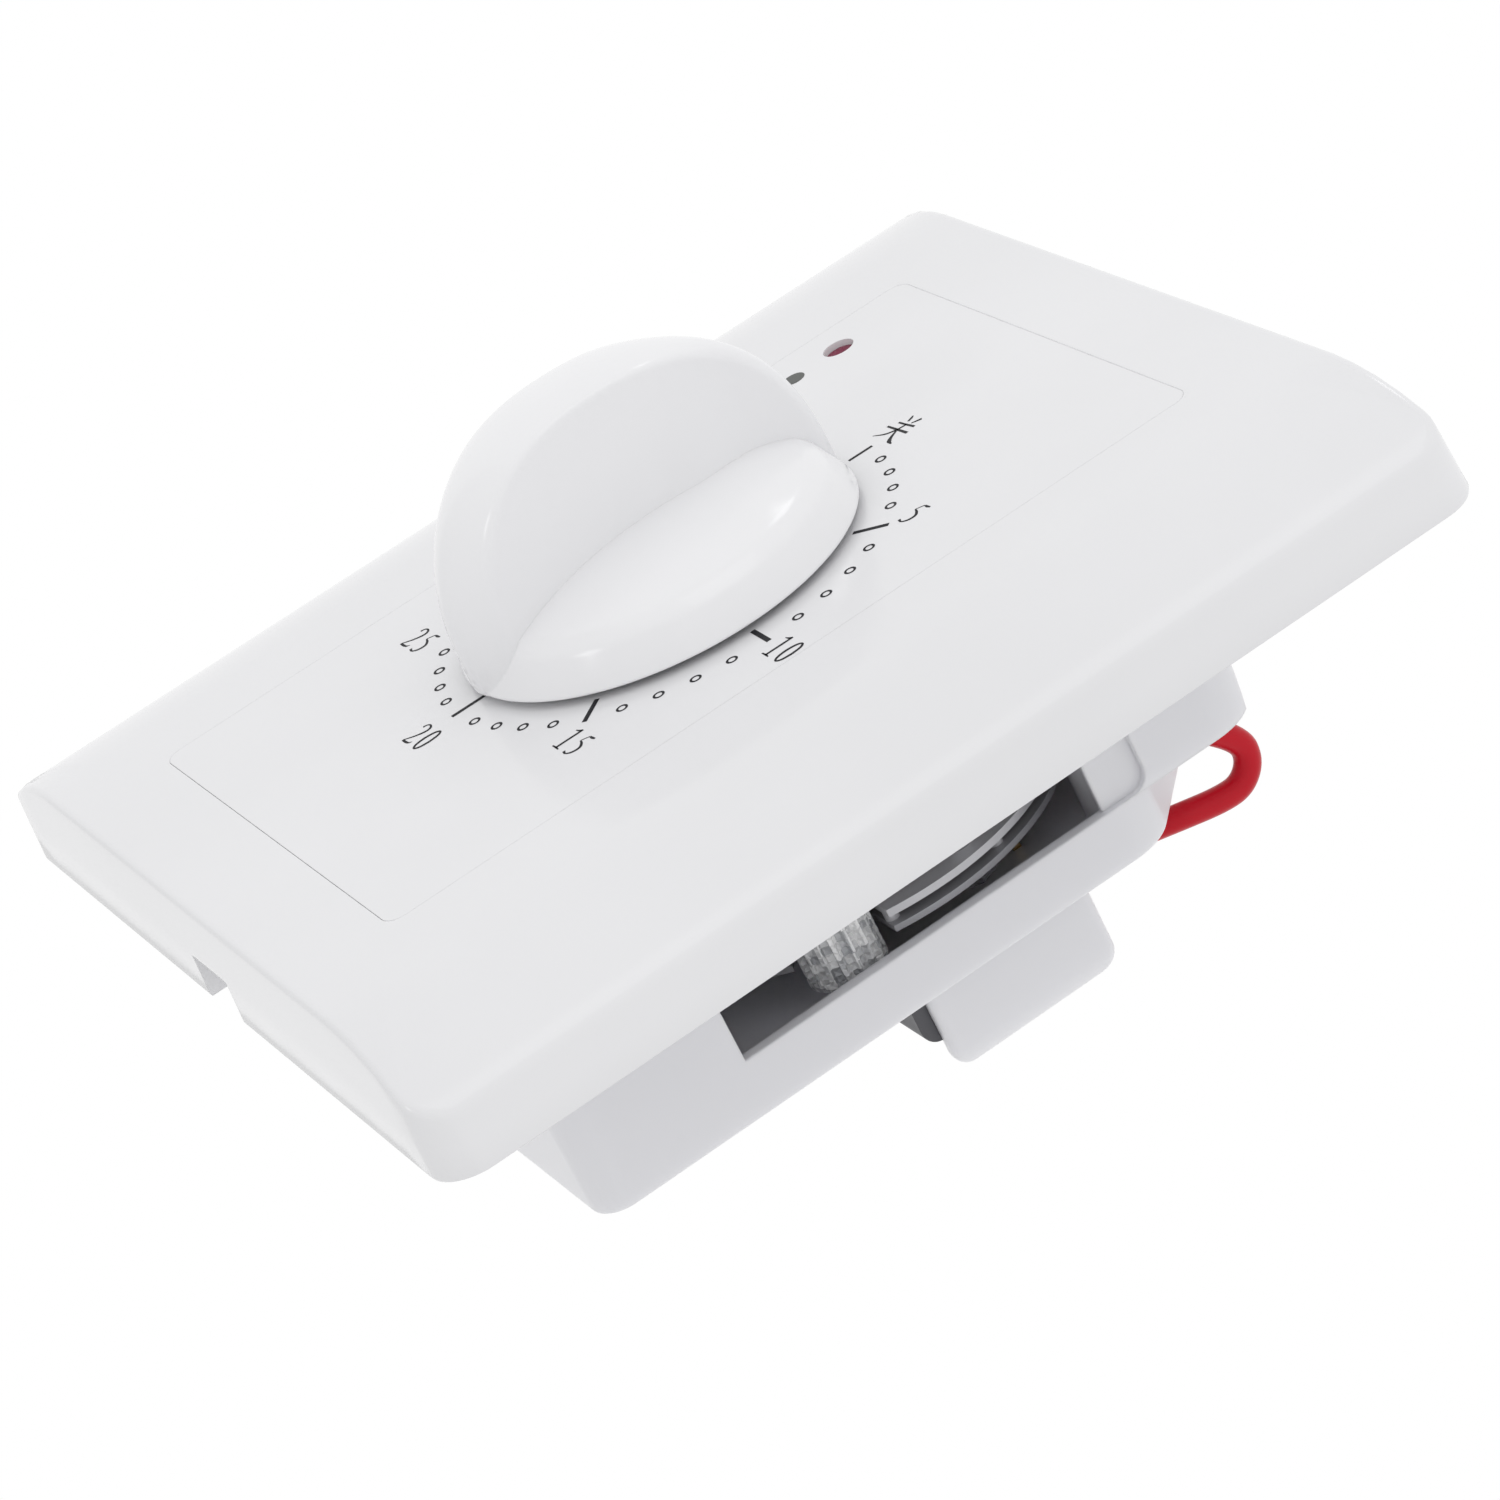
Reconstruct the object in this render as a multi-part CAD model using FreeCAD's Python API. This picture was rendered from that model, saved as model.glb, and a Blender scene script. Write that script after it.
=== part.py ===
"""Wall-plate countdown timer: a moulded plate with a turn knob over a spring-driven movement and a switch.

Millimetres. X runs to the right and Z up the plate, as seen from the room; Y runs into the wall.
The origin is midway between the two fixing holes, on the wall plane.
"""
import FreeCAD, Part
import math
import os

V = FreeCAD.Vector

# Working allowances
OVERCUT = 1.0
TOLERANCE = 0.01
RUNNING_GAP = 0.05
SEAT_GAP = 0.3
END_PLAY = 0.15

# Plate and its cover
PLATE_WIDTH = 86.0
PLATE_HEIGHT = 86.0
PLATE_DEPTH = 8.9
COVER_WALL = 2.0
SIDE_HEIGHT = 4.6
SIDE_LEAN = 0.9
END_LEAN = 0.7
SHOULDER_START = 29.3
CORNER_RADIUS = 3.5
RIM_FILLET = 0.6
INNER_DROP = 0.6
RIM_MARGIN = 1.2
NOTCH_WIDTH = 7.0
NOTCH_HEIGHT = 3.4
NOTCH_SLANT = 1.0
NOTCH_CENTRE = 1.0
FIXING_SPACING = 60.3
FIXING_RADIUS = 2.15

# Dial panel set into the cover, and the indicator lens in it
PANEL_WIDTH = 45.6
PANEL_HEIGHT = 68.2
PANEL_RADIUS = 1.4
PANEL_LIP = 2.6
PANEL_LIP_DEPTH = 1.2
SHAFT_HOLE_GAP = 0.3
LENS_X = -18.6
LENS_Z = 25.8
LENS_RADIUS = 1.25
LENS_RECESS = 0.5
LENS_FOOT_DEPTH = 0.8
LENS_FOOT_SIDE = 2.2
LENS_FOOT_BELOW = 3.4
LENS_FOOT_ABOVE = 2.0

# Base plate behind the cover
BASE_DEPTH = 2.4
BASE_GAP = 0.3
BASE_CORNER = 2.5
POST_RADIUS = 1.2
POST_INSET = 3.0
POST_BEYOND = 1.0

# Rear housing
HOUSING_WIDTH = 40.0
HOUSING_BOTTOM = 30.2
HOUSING_TOP = 30.9
HOUSING_DEPTH = 21.1
LEDGE_DEPTH = 16.6
LEDGE_SLOPE = 5.2
LEDGE_DRAW = 1.3
DEEP_TOP = 27.6
CHAMFER_SIDE = 19.0
CHAMFER_TOP = 9.2
CHAMFER_SHIFT = 0.45
HOUSING_WALL = 1.2
LOWER_RADIUS = 2.5
UPPER_RADIUS = 4.8
BACK_FILLET = 0.4
FLANGE_REACH = 4.0
FLANGE_DEPTH = 1.2
FLANGE_END = 2.4
FLANGE_SCREW_INSET = 7.0
WINDOW_HALF = 16.0
WINDOW_FRONT = 4.0
WINDOW_RAIL = 4.6
POCKET_DEPTH = 0.6
POCKET_REACH = 4.0
POCKET_RADIUS = 1.5
BOSS_RADIUS = 2.5
BOSS_INSET = 7.0
BOSS_TOP_Z = 19.5
BOSS_BOTTOM_Z = -19.0

# Movement plates and what holds them apart
MOVE_FRONT = 3.0
FRONT_PLATE_DEPTH = 1.0
FRONT_PLATE_MARGIN = 2.3
SWITCH_ROOM = 5.9
REAR_PLATE_DEPTH = 0.6
CONTACT_PLATE_GAP = 0.8
CONTACT_PLATE_DEPTH = 0.5
DISC_WALL_GAP = 0.3
DISC_FAR_GAP = 2.1
DISC_RISE = 3.2
DRUM_NOTCH_GAP = 0.5
DRUM_EAR = 2.4
PILLAR_RADIUS = 1.2
TENON_RADIUS = 0.6
PILLAR_INSET = 2.6
PILLAR_TURNS = (12.0, 80.0, 150.0, 215.0)
SPACER_RADIUS = 0.55
SPACER_INSET = 1.3
SPACER_TURNS = (-14.0, 20.0, -51.0, 112.0, 190.0)
NUT_SIDES = 6
NUT_FLATS = 3.2
NUT_DEPTH = 1.0

# Gear train: tooth counts, modules and forms
GREAT_TEETH = 64
GREAT_MODULE = 0.30
TRAIN_MODULE = 0.25
SECOND_TEETH = 48
THIRD_TEETH = 32
PINION_TEETH = 8
TOOTH_ADDENDUM = 0.85
TOOTH_DEDENDUM = 1.20
TOOTH_FOOT = 1.22
TOOTH_TIP = 0.35
GREAT_DEPTH = 1.0
GREAT_HUB = 3.4
GREAT_RIM = 2.0
WHEEL_DEPTH = 0.8
WHEEL_HUB = 1.5
WHEEL_RIM = 1.3
PINION_SPARE = 0.4
SPOKES = 4
SPOKE_RIM_TURN = 12.0
SPOKE_HUB_TURN = 28.0
SPOKE_ARC_STEPS = 3
PIVOT_RADIUS = 0.35
ARBOR_RADIUS = 0.55
TRAIN_CIRCLE = 12.0

# Where each wheel's layer starts, as a share of the room between the plates
GREAT_LAYER = 0.82
SECOND_LAYER = 0.62
THIRD_LAYER = 0.46
ESCAPE_LAYER = 0.22

# Escapement and balance drum
ESCAPE_TEETH = 15
ESCAPE_RADIUS = 3.2
ESCAPE_TOOTH = 0.8
ESCAPE_DEPTH = 0.6
ESCAPE_TURNS = (0.0, 3.0, 6.0, 14.0)
PALLET_REACH = 6.7
PALLET_GAP = 0.15
PALLET_SPREAD = 34.0
PALLET_TIP_TURN = 6.0
PALLET_ROOT_TURN = 30.0
PALLET_ROOT = 0.9
PALLET_HUB = 1.1
PALLET_SPARE = 0.1
DRUM_WALL_GAP = 0.4
DRUM_LEVEL = -4.9
DRUM_RADIUS = 3.1
DRUM_LENGTH = 7.8
DRUM_BACK_GAP = 2.5
DRUM_RIBS = 16
DRUM_RIB_DEPTH = 0.35
DRUM_CAP = 0.6
DRUM_WALL = 1.1
DRUM_ROOF = 1.2
DRUM_BOSS = 1.2
STAFF_PIVOT = 0.5
STAFF_SPARE = 0.2

# Knob, heights over the dial face
KNOB_LIFT = 0.6
KNOB_RIM = 15.9
KNOB_SHOULDER = 14.4
KNOB_SHOULDER_HEIGHT = 3.3
KNOB_DOME = 6.95
DOME_FALL = 3.2
DOME_POWER = 2.4
DOME_BREAK = 10.0
KNOB_WALL = 1.8
KNOB_LEDGE = 0.9
GRIP_HEIGHT = 17.4
GRIP_FOOT = 2.0
GRIP_POWER = 2.3
GRIP_HALF = 3.95
GRIP_END_HALF = 4.3
GRIP_EDGE = 1.1
GRIP_CORNER = 1.6
TAPER_START = 4.5
TAPER_RATE = 0.165
TAPER_POWER = 1.45
NOSE_HALF = 1.0
GRIP_STATIONS = (1.0, 0.98, 0.92, 0.82, 0.7, 0.56, 0.42, 0.28)
HUB_RADIUS = 5.0
HUB_DEPTH = 3.0
HUB_GAP = 0.6
HUB_RING = 0.5
HUB_RING_START = 0.3
HUB_RING_DEPTH = 1.9
SHAFT_RADIUS = 3.0
SHAFT_FLAT = 2.2
SHAFT_HEIGHT = 10.0
SHAFT_FLAT_FOOT = 1.0
SHAFT_TIP_GAP = 0.2

# Main arbor steps
HUB_SHAFT = 2.5
GREAT_SEAT = 1.6
REAR_SEAT = 1.2
FRONT_PIVOT = 2.0
ARBOR_TAIL = 0.6
CONTACT_HOLE_GAP = 0.3

# Friction washer under the great wheel
CLUTCH_DEPTH = 0.4
CLUTCH_ARMS = 3
CLUTCH_REACH = 5.2
CLUTCH_TURN = 9.0

# Mainspring
SPRING_STRIP = 0.3
SPRING_HEIGHT = 2.8
SPRING_FOOT_GAP = 0.8
SPRING_INNER = 3.0
SPRING_STEP_OUT = 0.9
SPRING_TURNS = 5
SPRING_STEPS = 16
SPRING_END_TURN = 150.0
SPRING_POST_RADIUS = 0.7
SPRING_POST_HEAD = 0.6

# Switch
CAM_FOOT_GAP = 0.5
CAM_DEPTH = 1.2
CAM_LOW = 4.6
CAM_HIGH = 5.2
CAM_LEAD_TURN = 9.0
CAM_DROP_TURN = 14.0
CAM_STEPS = 30
CAM_GAP = 0.1
DIAL_RANGE = 270.0
LEVER_X = -8.6
LEVER_Z = 6.2
LEVER_REACH = 17.5
LEVER_DEPTH = 1.0
LEVER_SHIFT = 0.1
LEVER_HALF = 1.0
LEVER_BOSS = 1.7
LEVER_PIVOT = 0.8
LEVER_LIFT = 4.5
LEVER_NOSE_TIP = 0.5
LEVER_NOSE_ROOT = 1.2
LEVER_NOSE_HEIGHT = 1.1
LEVER_TIP_RISE = 1.2
LEVER_TIP_BELOW = 0.9
LEVER_SEAT = 0.3
CONTACT_RADIUS = 0.9
CONTACT_INSET = 1.2
MOVING_HEIGHT = 1.3
FIXED_HEIGHT = 1.2
CONTACT_GAP = 0.1
BLADE_HALF = 1.4
BLADE_FOOT = 1.2
BLADE_DEPTH = 0.6
BLADE_BACK_GAP = 0.4
BLADE_TAB = 1.9
BLADE_GAP = 0.1

# Terminals
TERMINAL_HALF = 16.0
TERMINAL_LOW = -1.0
TERMINAL_HIGH = 13.7
TERMINAL_DEPTH = 9.1
TERMINAL_FLOOR = 1.0
TERMINAL_RADIUS = 2.2
CHEEK = 1.2
CHEEK_RADIUS = 0.7
BLOCK_DEPTH = 5.0
BLOCK_OVERHANG = 1.2
BLOCK_RADIUS = 1.4
TERMINAL_PITCH = 7.5
TERMINAL_PLACES = (-1, 0, 1)
CLAMP_WIDTH = 4.4
CLAMP_DEPTH = 3.4
CLAMP_FOOT = 0.3
CLAMP_INSET = 2.4
CLAMP_TOP_INSET = 5.0
WIRE_ENTRY = 1.25
WIRE_LEVEL = 1.6
TERMINAL_SCREW = 1.5
TERMINAL_HEAD = 2.1
TERMINAL_HEAD_DEPTH = 0.8
TERMINAL_HEAD_GAP = 0.15

# Lamp, its lead and its resistor
LEAD_RADIUS = 1.05
LEAD_HOLE_GAP = 0.2
LEAD_BEND_SHARE = 0.45
LEAD_POINTS = (
    (7.5, 25.4, 13.7),
    (7.5, 25.4, 17.2),
    (9.6, 24.9, 20.6),
    (11.9, 24.6, 24.0),
    (12.5, 24.96, 27.02),
    (12.5, 24.96, 28.98),
    (12.5, 23.58, 30.36),
    (12.5, 21.62, 30.36),
    (12.5, 18.46, 27.20),
    (12.5, 12.0, 27.20),
)
LAMP_RADIUS = 2.0
LAMP_SIDE_GAP = 1.4
LAMP_END_GAP = 3.1
LAMP_SEAT = 1.7
LAMP_LENS_GAP = 0.1
LAMP_NOSE = 1.4
RESISTOR_RADIUS = 1.2
RESISTOR_LENGTH = 6.5
RESISTOR_WIRE = 0.3
RESISTOR_WIRE_LENGTH = 2.0
RESISTOR_DROP = 0.4

# Screws
SCREW_RADIUS = 1.1
SCREW_GAP = 0.2
SCREW_HEAD = 2.0
SCREW_HEAD_DEPTH = 1.3
SCREW_REACH = 7.0
SCREW_SHORT = 0.2
SLOT_WIDTH = 0.5
SLOT_DEPTH = 0.5

# Values that follow from the sizes above
FACE = -PLATE_DEPTH
COVER_INSIDE = FACE + COVER_WALL
LIP_BACK = COVER_INSIDE + PANEL_LIP_DEPTH
FLANGE_FRONT = -BASE_DEPTH - FLANGE_DEPTH
HOUSING_HALF = HOUSING_WIDTH / 2
INNER_HALF = HOUSING_HALF - HOUSING_WALL
FLOOR = HOUSING_DEPTH - HOUSING_WALL
LEDGE_FLOOR = LEDGE_DEPTH - HOUSING_WALL
WINDOW_BACK = HOUSING_DEPTH - WINDOW_RAIL
MOVE_BACK = MOVE_FRONT + FRONT_PLATE_DEPTH
REAR_PLATE_START = FLOOR - SWITCH_ROOM
REAR_PLATE_END = REAR_PLATE_START + REAR_PLATE_DEPTH
CONTACT_PLATE_START = REAR_PLATE_END + CONTACT_PLATE_GAP
CONTACT_PLATE_END = CONTACT_PLATE_START + CONTACT_PLATE_DEPTH
PLATE_ROOM = REAR_PLATE_START - MOVE_BACK
DISC_RADIUS = INNER_HALF - (DISC_WALL_GAP + DISC_FAR_GAP) / 2
DISC_CENTRE = (INNER_HALF - DISC_WALL_GAP - DISC_RADIUS, DISC_RISE)
DRUM_CENTRE = (INNER_HALF - DRUM_WALL_GAP - DRUM_RADIUS, DRUM_LEVEL)
DRUM_END = FLOOR - DRUM_BACK_GAP
DRUM_START = DRUM_END - DRUM_LENGTH
GREAT_START = MOVE_BACK + GREAT_LAYER * PLATE_ROOM
SECOND_START = MOVE_BACK + SECOND_LAYER * PLATE_ROOM
THIRD_START = MOVE_BACK + THIRD_LAYER * PLATE_ROOM
ESCAPE_START = MOVE_BACK + ESCAPE_LAYER * PLATE_ROOM
SPRING_START = MOVE_BACK + SPRING_FOOT_GAP
SPRING_OUTER = SPRING_INNER + SPRING_STEP_OUT * SPRING_TURNS
CAM_START = CONTACT_PLATE_END + CAM_FOOT_GAP
TERMINAL_END = HOUSING_DEPTH + TERMINAL_DEPTH
BLOCK_START = HOUSING_DEPTH + TERMINAL_FLOOR
BLOCK_END = BLOCK_START + BLOCK_DEPTH
BLOCK_LOW = TERMINAL_LOW - BLOCK_OVERHANG
LAMP_X = LAMP_RADIUS + LAMP_SIDE_GAP - INNER_HALF
LAMP_Z = HOUSING_TOP - HOUSING_WALL - LAMP_RADIUS - LAMP_END_GAP
LAMP_SOCKET = MOVE_BACK + SEAT_GAP
LAMP_END = LAMP_SOCKET + LAMP_SEAT


def block(x0, x1, y0, y1, z0, z1):
    return Part.makeBox(x1 - x0, y1 - y0, z1 - z0, V(x0, y0, z0))


def rod(radius, y0, y1, x=0.0, z=0.0):
    return Part.makeCylinder(radius, y1 - y0, V(x, y0, z), V(0, 1, 0))


def bore(shape, radius, y0, y1, x=0.0, z=0.0):
    """Cut a round hole that runs past both of its faces."""
    return shape.cut(rod(radius, y0 - OVERCUT, y1 + OVERCUT, x, z))


def slab(points, y0, y1):
    """Extrude a closed polygon of (x, z) points from y0 to y1."""
    corners = [V(x, y0, z) for x, z in points]
    wire = Part.makePolygon(corners + corners[:1])
    return Part.Face(wire).extrude(V(0, y1 - y0, 0))


def edges_along(shape, axis):
    """Straight edges that run along one axis, given as a unit vector."""
    picked = []
    for edge in shape.Edges:
        run = edge.Vertexes[-1].Point - edge.Vertexes[0].Point
        if run.Length > TOLERANCE and abs(abs(run.dot(axis)) - run.Length) < TOLERANCE * run.Length:
            picked.append(edge)
    return picked


def rounded(half_x, low, high, radius, y0, y1):
    """Block about X = 0 with its four upright corners rounded."""
    body = block(-half_x, half_x, y0, y1, low, high)
    return body.makeFillet(radius, edges_along(body, V(0, 1, 0)))


def ring(outer, inner, y0, y1, x=0.0, z=0.0):
    return bore(rod(outer, y0, y1, x, z), inner, y0, y1, x, z)


def fuse(first, *rest):
    return first.fuse(list(rest)).removeSplitter()


def meet(centre_a, radius_a, centre_b, radius_b):
    """Point at radius_a from centre_a and radius_b from centre_b, on the right of the line from a to b."""
    dx = centre_b[0] - centre_a[0]
    dz = centre_b[1] - centre_a[1]
    gap = math.hypot(dx, dz)
    along = (radius_a**2 - radius_b**2 + gap**2) / (2 * gap)
    across = math.sqrt(radius_a**2 - along**2)
    return (centre_a[0] + (along * dx + across * dz) / gap, centre_a[1] + (along * dz - across * dx) / gap)


def polar(centre, radius, degrees):
    turn = math.radians(degrees)
    return (centre[0] + radius * math.cos(turn), centre[1] + radius * math.sin(turn))


def bearing(start, end):
    return math.degrees(math.atan2(end[1] - start[1], end[0] - start[0]))


def gear(teeth, module, y0, y1, centre, first_tooth):
    """A toothed wheel about an axis along Y, one tooth centred on the bearing first_tooth."""
    pitch_radius = teeth * module / 2
    tip = pitch_radius + TOOTH_ADDENDUM * module
    root = pitch_radius - TOOTH_DEDENDUM * module
    quarter = 90.0 / teeth
    outline = []
    for tooth in range(teeth):
        middle = first_tooth + tooth * 360.0 / teeth
        outline.append(polar(centre, root, middle - TOOTH_FOOT * quarter))
        outline.append(polar(centre, tip, middle - TOOTH_TIP * quarter))
        outline.append(polar(centre, tip, middle + TOOTH_TIP * quarter))
        outline.append(polar(centre, root, middle + TOOTH_FOOT * quarter))
    return slab(outline, y0, y1)


def spoked(wheel, centre, hub, rim, y0, y1):
    """Cut the openings between a wheel's spokes."""
    pitch = 360.0 / SPOKES
    arc_turn = (pitch - 2 * SPOKE_RIM_TURN) / SPOKE_ARC_STEPS
    for spoke in range(SPOKES):
        start = spoke * pitch
        arc = start + SPOKE_RIM_TURN
        outline = [polar(centre, rim, arc + k * arc_turn) for k in range(SPOKE_ARC_STEPS + 1)]
        outline.append(polar(centre, hub, start + pitch - SPOKE_HUB_TURN))
        outline.append(polar(centre, hub, start + SPOKE_HUB_TURN))
        wheel = wheel.cut(slab(outline, y0 - OVERCUT, y1 + OVERCUT))
    return wheel


def cover_profile(half_x, half_z, face, side):
    """Face across the plate at its lower end: flat face, rolled shoulders, leaning side walls."""
    edge_x = half_x - SIDE_LEAN
    run = edge_x - SHOULDER_START
    drop = side - face
    roll = (run**2 + drop**2) / (2 * drop)
    turn = math.atan2(run, roll - drop) / 2
    mid_x = SHOULDER_START + roll * math.sin(turn)
    mid_y = face + roll * (1 - math.cos(turn))

    def at(x, y):
        return V(x, y, -half_z)

    edges = [
        Part.makeLine(at(-half_x, 0), at(-edge_x, side)),
        Part.Arc(at(-edge_x, side), at(-mid_x, mid_y), at(-SHOULDER_START, face)).toShape(),
        Part.makeLine(at(-SHOULDER_START, face), at(SHOULDER_START, face)),
        Part.Arc(at(SHOULDER_START, face), at(mid_x, mid_y), at(edge_x, side)).toShape(),
        Part.makeLine(at(edge_x, side), at(half_x, 0)),
        Part.makeLine(at(half_x, 0), at(-half_x, 0)),
    ]
    return Part.Face(Part.Wire(edges))


def lean_ends(body, half_x, half_z, face):
    """Draw the plate's two ends in toward its face."""
    far = half_x + OVERCUT
    lean = END_LEAN * (PLATE_DEPTH + OVERCUT) / PLATE_DEPTH
    ends = [
        V(-far, 0, -half_z),
        V(-far, face - OVERCUT, lean - half_z),
        V(-far, face - OVERCUT, half_z - lean),
        V(-far, 0, half_z),
    ]
    return body.common(Part.Face(Part.makePolygon(ends + ends[:1])).extrude(V(2 * far, 0, 0)))


def corner_edges(body, half_x, half_z):
    """The four edges that run from the wall plane to the shoulders at the plate's corners."""
    near_x = half_x - SIDE_LEAN - SEAT_GAP
    near_z = half_z - 2 * END_LEAN
    picked = []
    for edge in body.Edges:
        ends = [vertex.Point for vertex in edge.Vertexes]
        outer = all(abs(p.x) > near_x and abs(p.z) > near_z for p in ends)
        if outer and abs(ends[0].y - ends[-1].y) > RIM_MARGIN:
            picked.append(edge)
    return picked


def rim_edges(body):
    """Edges round the rolled shoulders and the face's two ends, without the walls' upright seams."""
    picked = []
    for edge in body.Edges:
        ends = [vertex.Point for vertex in edge.Vertexes]
        tangent_line = all(abs(abs(p.x) - SHOULDER_START) < RUNNING_GAP for p in ends)
        if max(p.y for p in ends) < RIM_MARGIN - SIDE_HEIGHT and not tangent_line:
            picked.append(edge)
    return picked


def cover_form(inset):
    """The plate's outer form, drawn in by inset."""
    half_x = PLATE_WIDTH / 2 - inset
    half_z = PLATE_HEIGHT / 2 - inset
    face = FACE + inset
    body = cover_profile(half_x, half_z, face, INNER_DROP * inset - SIDE_HEIGHT).extrude(V(0, 0, 2 * half_z))
    body = lean_ends(body, half_x, half_z, face)
    body = body.makeFillet(CORNER_RADIUS - INNER_DROP * inset, corner_edges(body, half_x, half_z))
    return body if inset else body.makeFillet(RIM_FILLET, rim_edges(body))


def make_cover():
    """Moulded cover with its panel opening and the notch that a screwdriver opens it by."""
    cover = cover_form(0.0).cut(cover_form(COVER_WALL))
    half_h = PANEL_HEIGHT / 2
    opening = rounded(PANEL_WIDTH / 2, -half_h, half_h, PANEL_RADIUS, FACE - OVERCUT, COVER_INSIDE + OVERCUT)
    left = NOTCH_CENTRE - NOTCH_WIDTH / 2
    right = NOTCH_CENTRE + NOTCH_WIDTH / 2
    outline = [(left, 0), (right, 0), (right - NOTCH_SLANT, NOTCH_HEIGHT), (left + NOTCH_SLANT, NOTCH_HEIGHT)]
    notch = slab(outline, 0, 2 * COVER_WALL)
    notch.rotate(V(0, 0, 0), V(1, 0, 0), 90)
    notch.translate(V(0, 0, -(PLATE_HEIGHT + COVER_WALL) / 2))
    return cover.cut(opening).cut(notch)


def make_panel():
    """Dial panel: a plug in the cover's opening with a lip behind it."""
    half_w = PANEL_WIDTH / 2
    half_h = PANEL_HEIGHT / 2
    gap = RUNNING_GAP
    reach = half_h + PANEL_LIP
    plug = rounded(half_w - gap, gap - half_h, half_h - gap, PANEL_RADIUS - gap, FACE, COVER_INSIDE)
    lip = rounded(half_w + PANEL_LIP, -reach, reach, PANEL_RADIUS + PANEL_LIP, COVER_INSIDE, LIP_BACK)
    panel = bore(fuse(plug, lip), SHAFT_RADIUS + SHAFT_HOLE_GAP, FACE, LIP_BACK)
    return bore(panel, LENS_RADIUS, FACE, LIP_BACK, LENS_X, LENS_Z)


def make_lens():
    """Indicator lens: a round light guide on a foot that reaches over the lamp."""
    stem = rod(LENS_RADIUS - RUNNING_GAP, FACE + LENS_RECESS, LIP_BACK, LENS_X, LENS_Z)
    foot = block(LENS_X - LENS_FOOT_SIDE, LAMP_X + LENS_FOOT_SIDE, LIP_BACK, LIP_BACK + LENS_FOOT_DEPTH,
                 LENS_Z - LENS_FOOT_BELOW, LENS_Z + LENS_FOOT_ABOVE)
    return fuse(stem, foot)


def flange_screw(side, end):
    """Centre of one of the screws that hold the housing's flange to the base plate."""
    return (side * (HOUSING_HALF + FLANGE_REACH / 2 + SCREW_GAP), end * (HOUSING_BOTTOM - FLANGE_SCREW_INSET))


def four_corners():
    return [(side, end) for side in (-1, 1) for end in (-1, 1)]


def make_base():
    """Base plate with the fixing holes, the housing's opening and posts to the dial panel."""
    side_lean = SIDE_LEAN * BASE_DEPTH / SIDE_HEIGHT
    end_lean = END_LEAN * BASE_DEPTH / PLATE_DEPTH
    half = PLATE_WIDTH / 2 - COVER_WALL - side_lean - BASE_GAP
    tall = PLATE_HEIGHT / 2 - COVER_WALL - end_lean - BASE_GAP
    base = rounded(half, -tall, tall, BASE_CORNER, -BASE_DEPTH, 0.0)
    base = base.cut(housing_outline(SEAT_GAP, -BASE_DEPTH - OVERCUT, OVERCUT))
    for side in (-1, 1):
        base = bore(base, FIXING_RADIUS, -BASE_DEPTH, 0, side * FIXING_SPACING / 2)
    for side, end in four_corners():
        x = side * (PANEL_WIDTH / 2 - POST_INSET)
        z = end * (PANEL_HEIGHT / 2 + POST_BEYOND)
        base = base.fuse(rod(POST_RADIUS, LIP_BACK, -BASE_DEPTH, x, z))
        base = bore(base, SCREW_RADIUS, -BASE_DEPTH, 0, *flange_screw(side, end))
    return base.removeSplitter()


def round_corners(body, grow, upper_from):
    """Round the lower and the upper upright edges of a housing form."""
    upright = edges_along(body, V(0, 1, 0))
    lower = [edge for edge in upright if edge.Vertexes[0].Z < 0]
    body = body.makeFillet(LOWER_RADIUS + grow, lower)
    upper = [edge for edge in edges_along(body, V(0, 1, 0)) if edge.Vertexes[0].Z > upper_from]
    return body.makeFillet(UPPER_RADIUS + grow, upper)


def housing_outline(grow, y0, y1):
    """Full plan of the housing, grown by a clearance."""
    half = HOUSING_HALF + grow
    body = block(-half, half, y0, y1, -HOUSING_BOTTOM - grow, HOUSING_TOP + grow)
    return round_corners(body, grow, HOUSING_TOP - UPPER_RADIUS)


def deep_outline(grow, y0, y1):
    """Plan of the deep part, with its two cut-off upper corners."""
    half = HOUSING_HALF + grow
    low = -HOUSING_BOTTOM - grow
    side_z = CHAMFER_SIDE + grow * CHAMFER_SHIFT
    top_x = CHAMFER_TOP + grow * CHAMFER_SHIFT
    top = DEEP_TOP + grow
    plan = [(-half, low), (half, low), (half, side_z), (top_x, top), (-top_x, top), (-half, side_z)]
    return round_corners(slab(plan, y0, y1), grow, CHAMFER_SIDE - UPPER_RADIUS / 2)


def draw_in_ledge(body, wall):
    """Draw the upper end of the shallow part, or of the room in it, in toward its back."""
    far = HOUSING_HALF + OVERCUT
    start = LEDGE_DEPTH - LEDGE_SLOPE
    end = LEDGE_DEPTH + OVERCUT
    top = HOUSING_TOP - wall
    low = top - LEDGE_DRAW * (end - start) / LEDGE_SLOPE
    wedge = [
        V(-far, start, top),
        V(-far, end, low),
        V(-far, end, top + OVERCUT),
        V(-far, start, top + OVERCUT),
    ]
    return body.cut(Part.Face(Part.makePolygon(wedge + wedge[:1])).extrude(V(2 * far, 0, 0)))


def soften_back(body, depth):
    """Round the edges that bound a form's back face."""
    edges = []
    for edge in body.Edges:
        if all(abs(vertex.Y - depth) < TOLERANCE for vertex in edge.Vertexes):
            edges.append(edge)
    return body.makeFillet(BACK_FILLET, edges)


def boss_places():
    return [(side * (HOUSING_HALF - BOSS_INSET), z) for side in (-1, 1) for z in (BOSS_TOP_Z, BOSS_BOTTOM_Z)]


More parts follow.
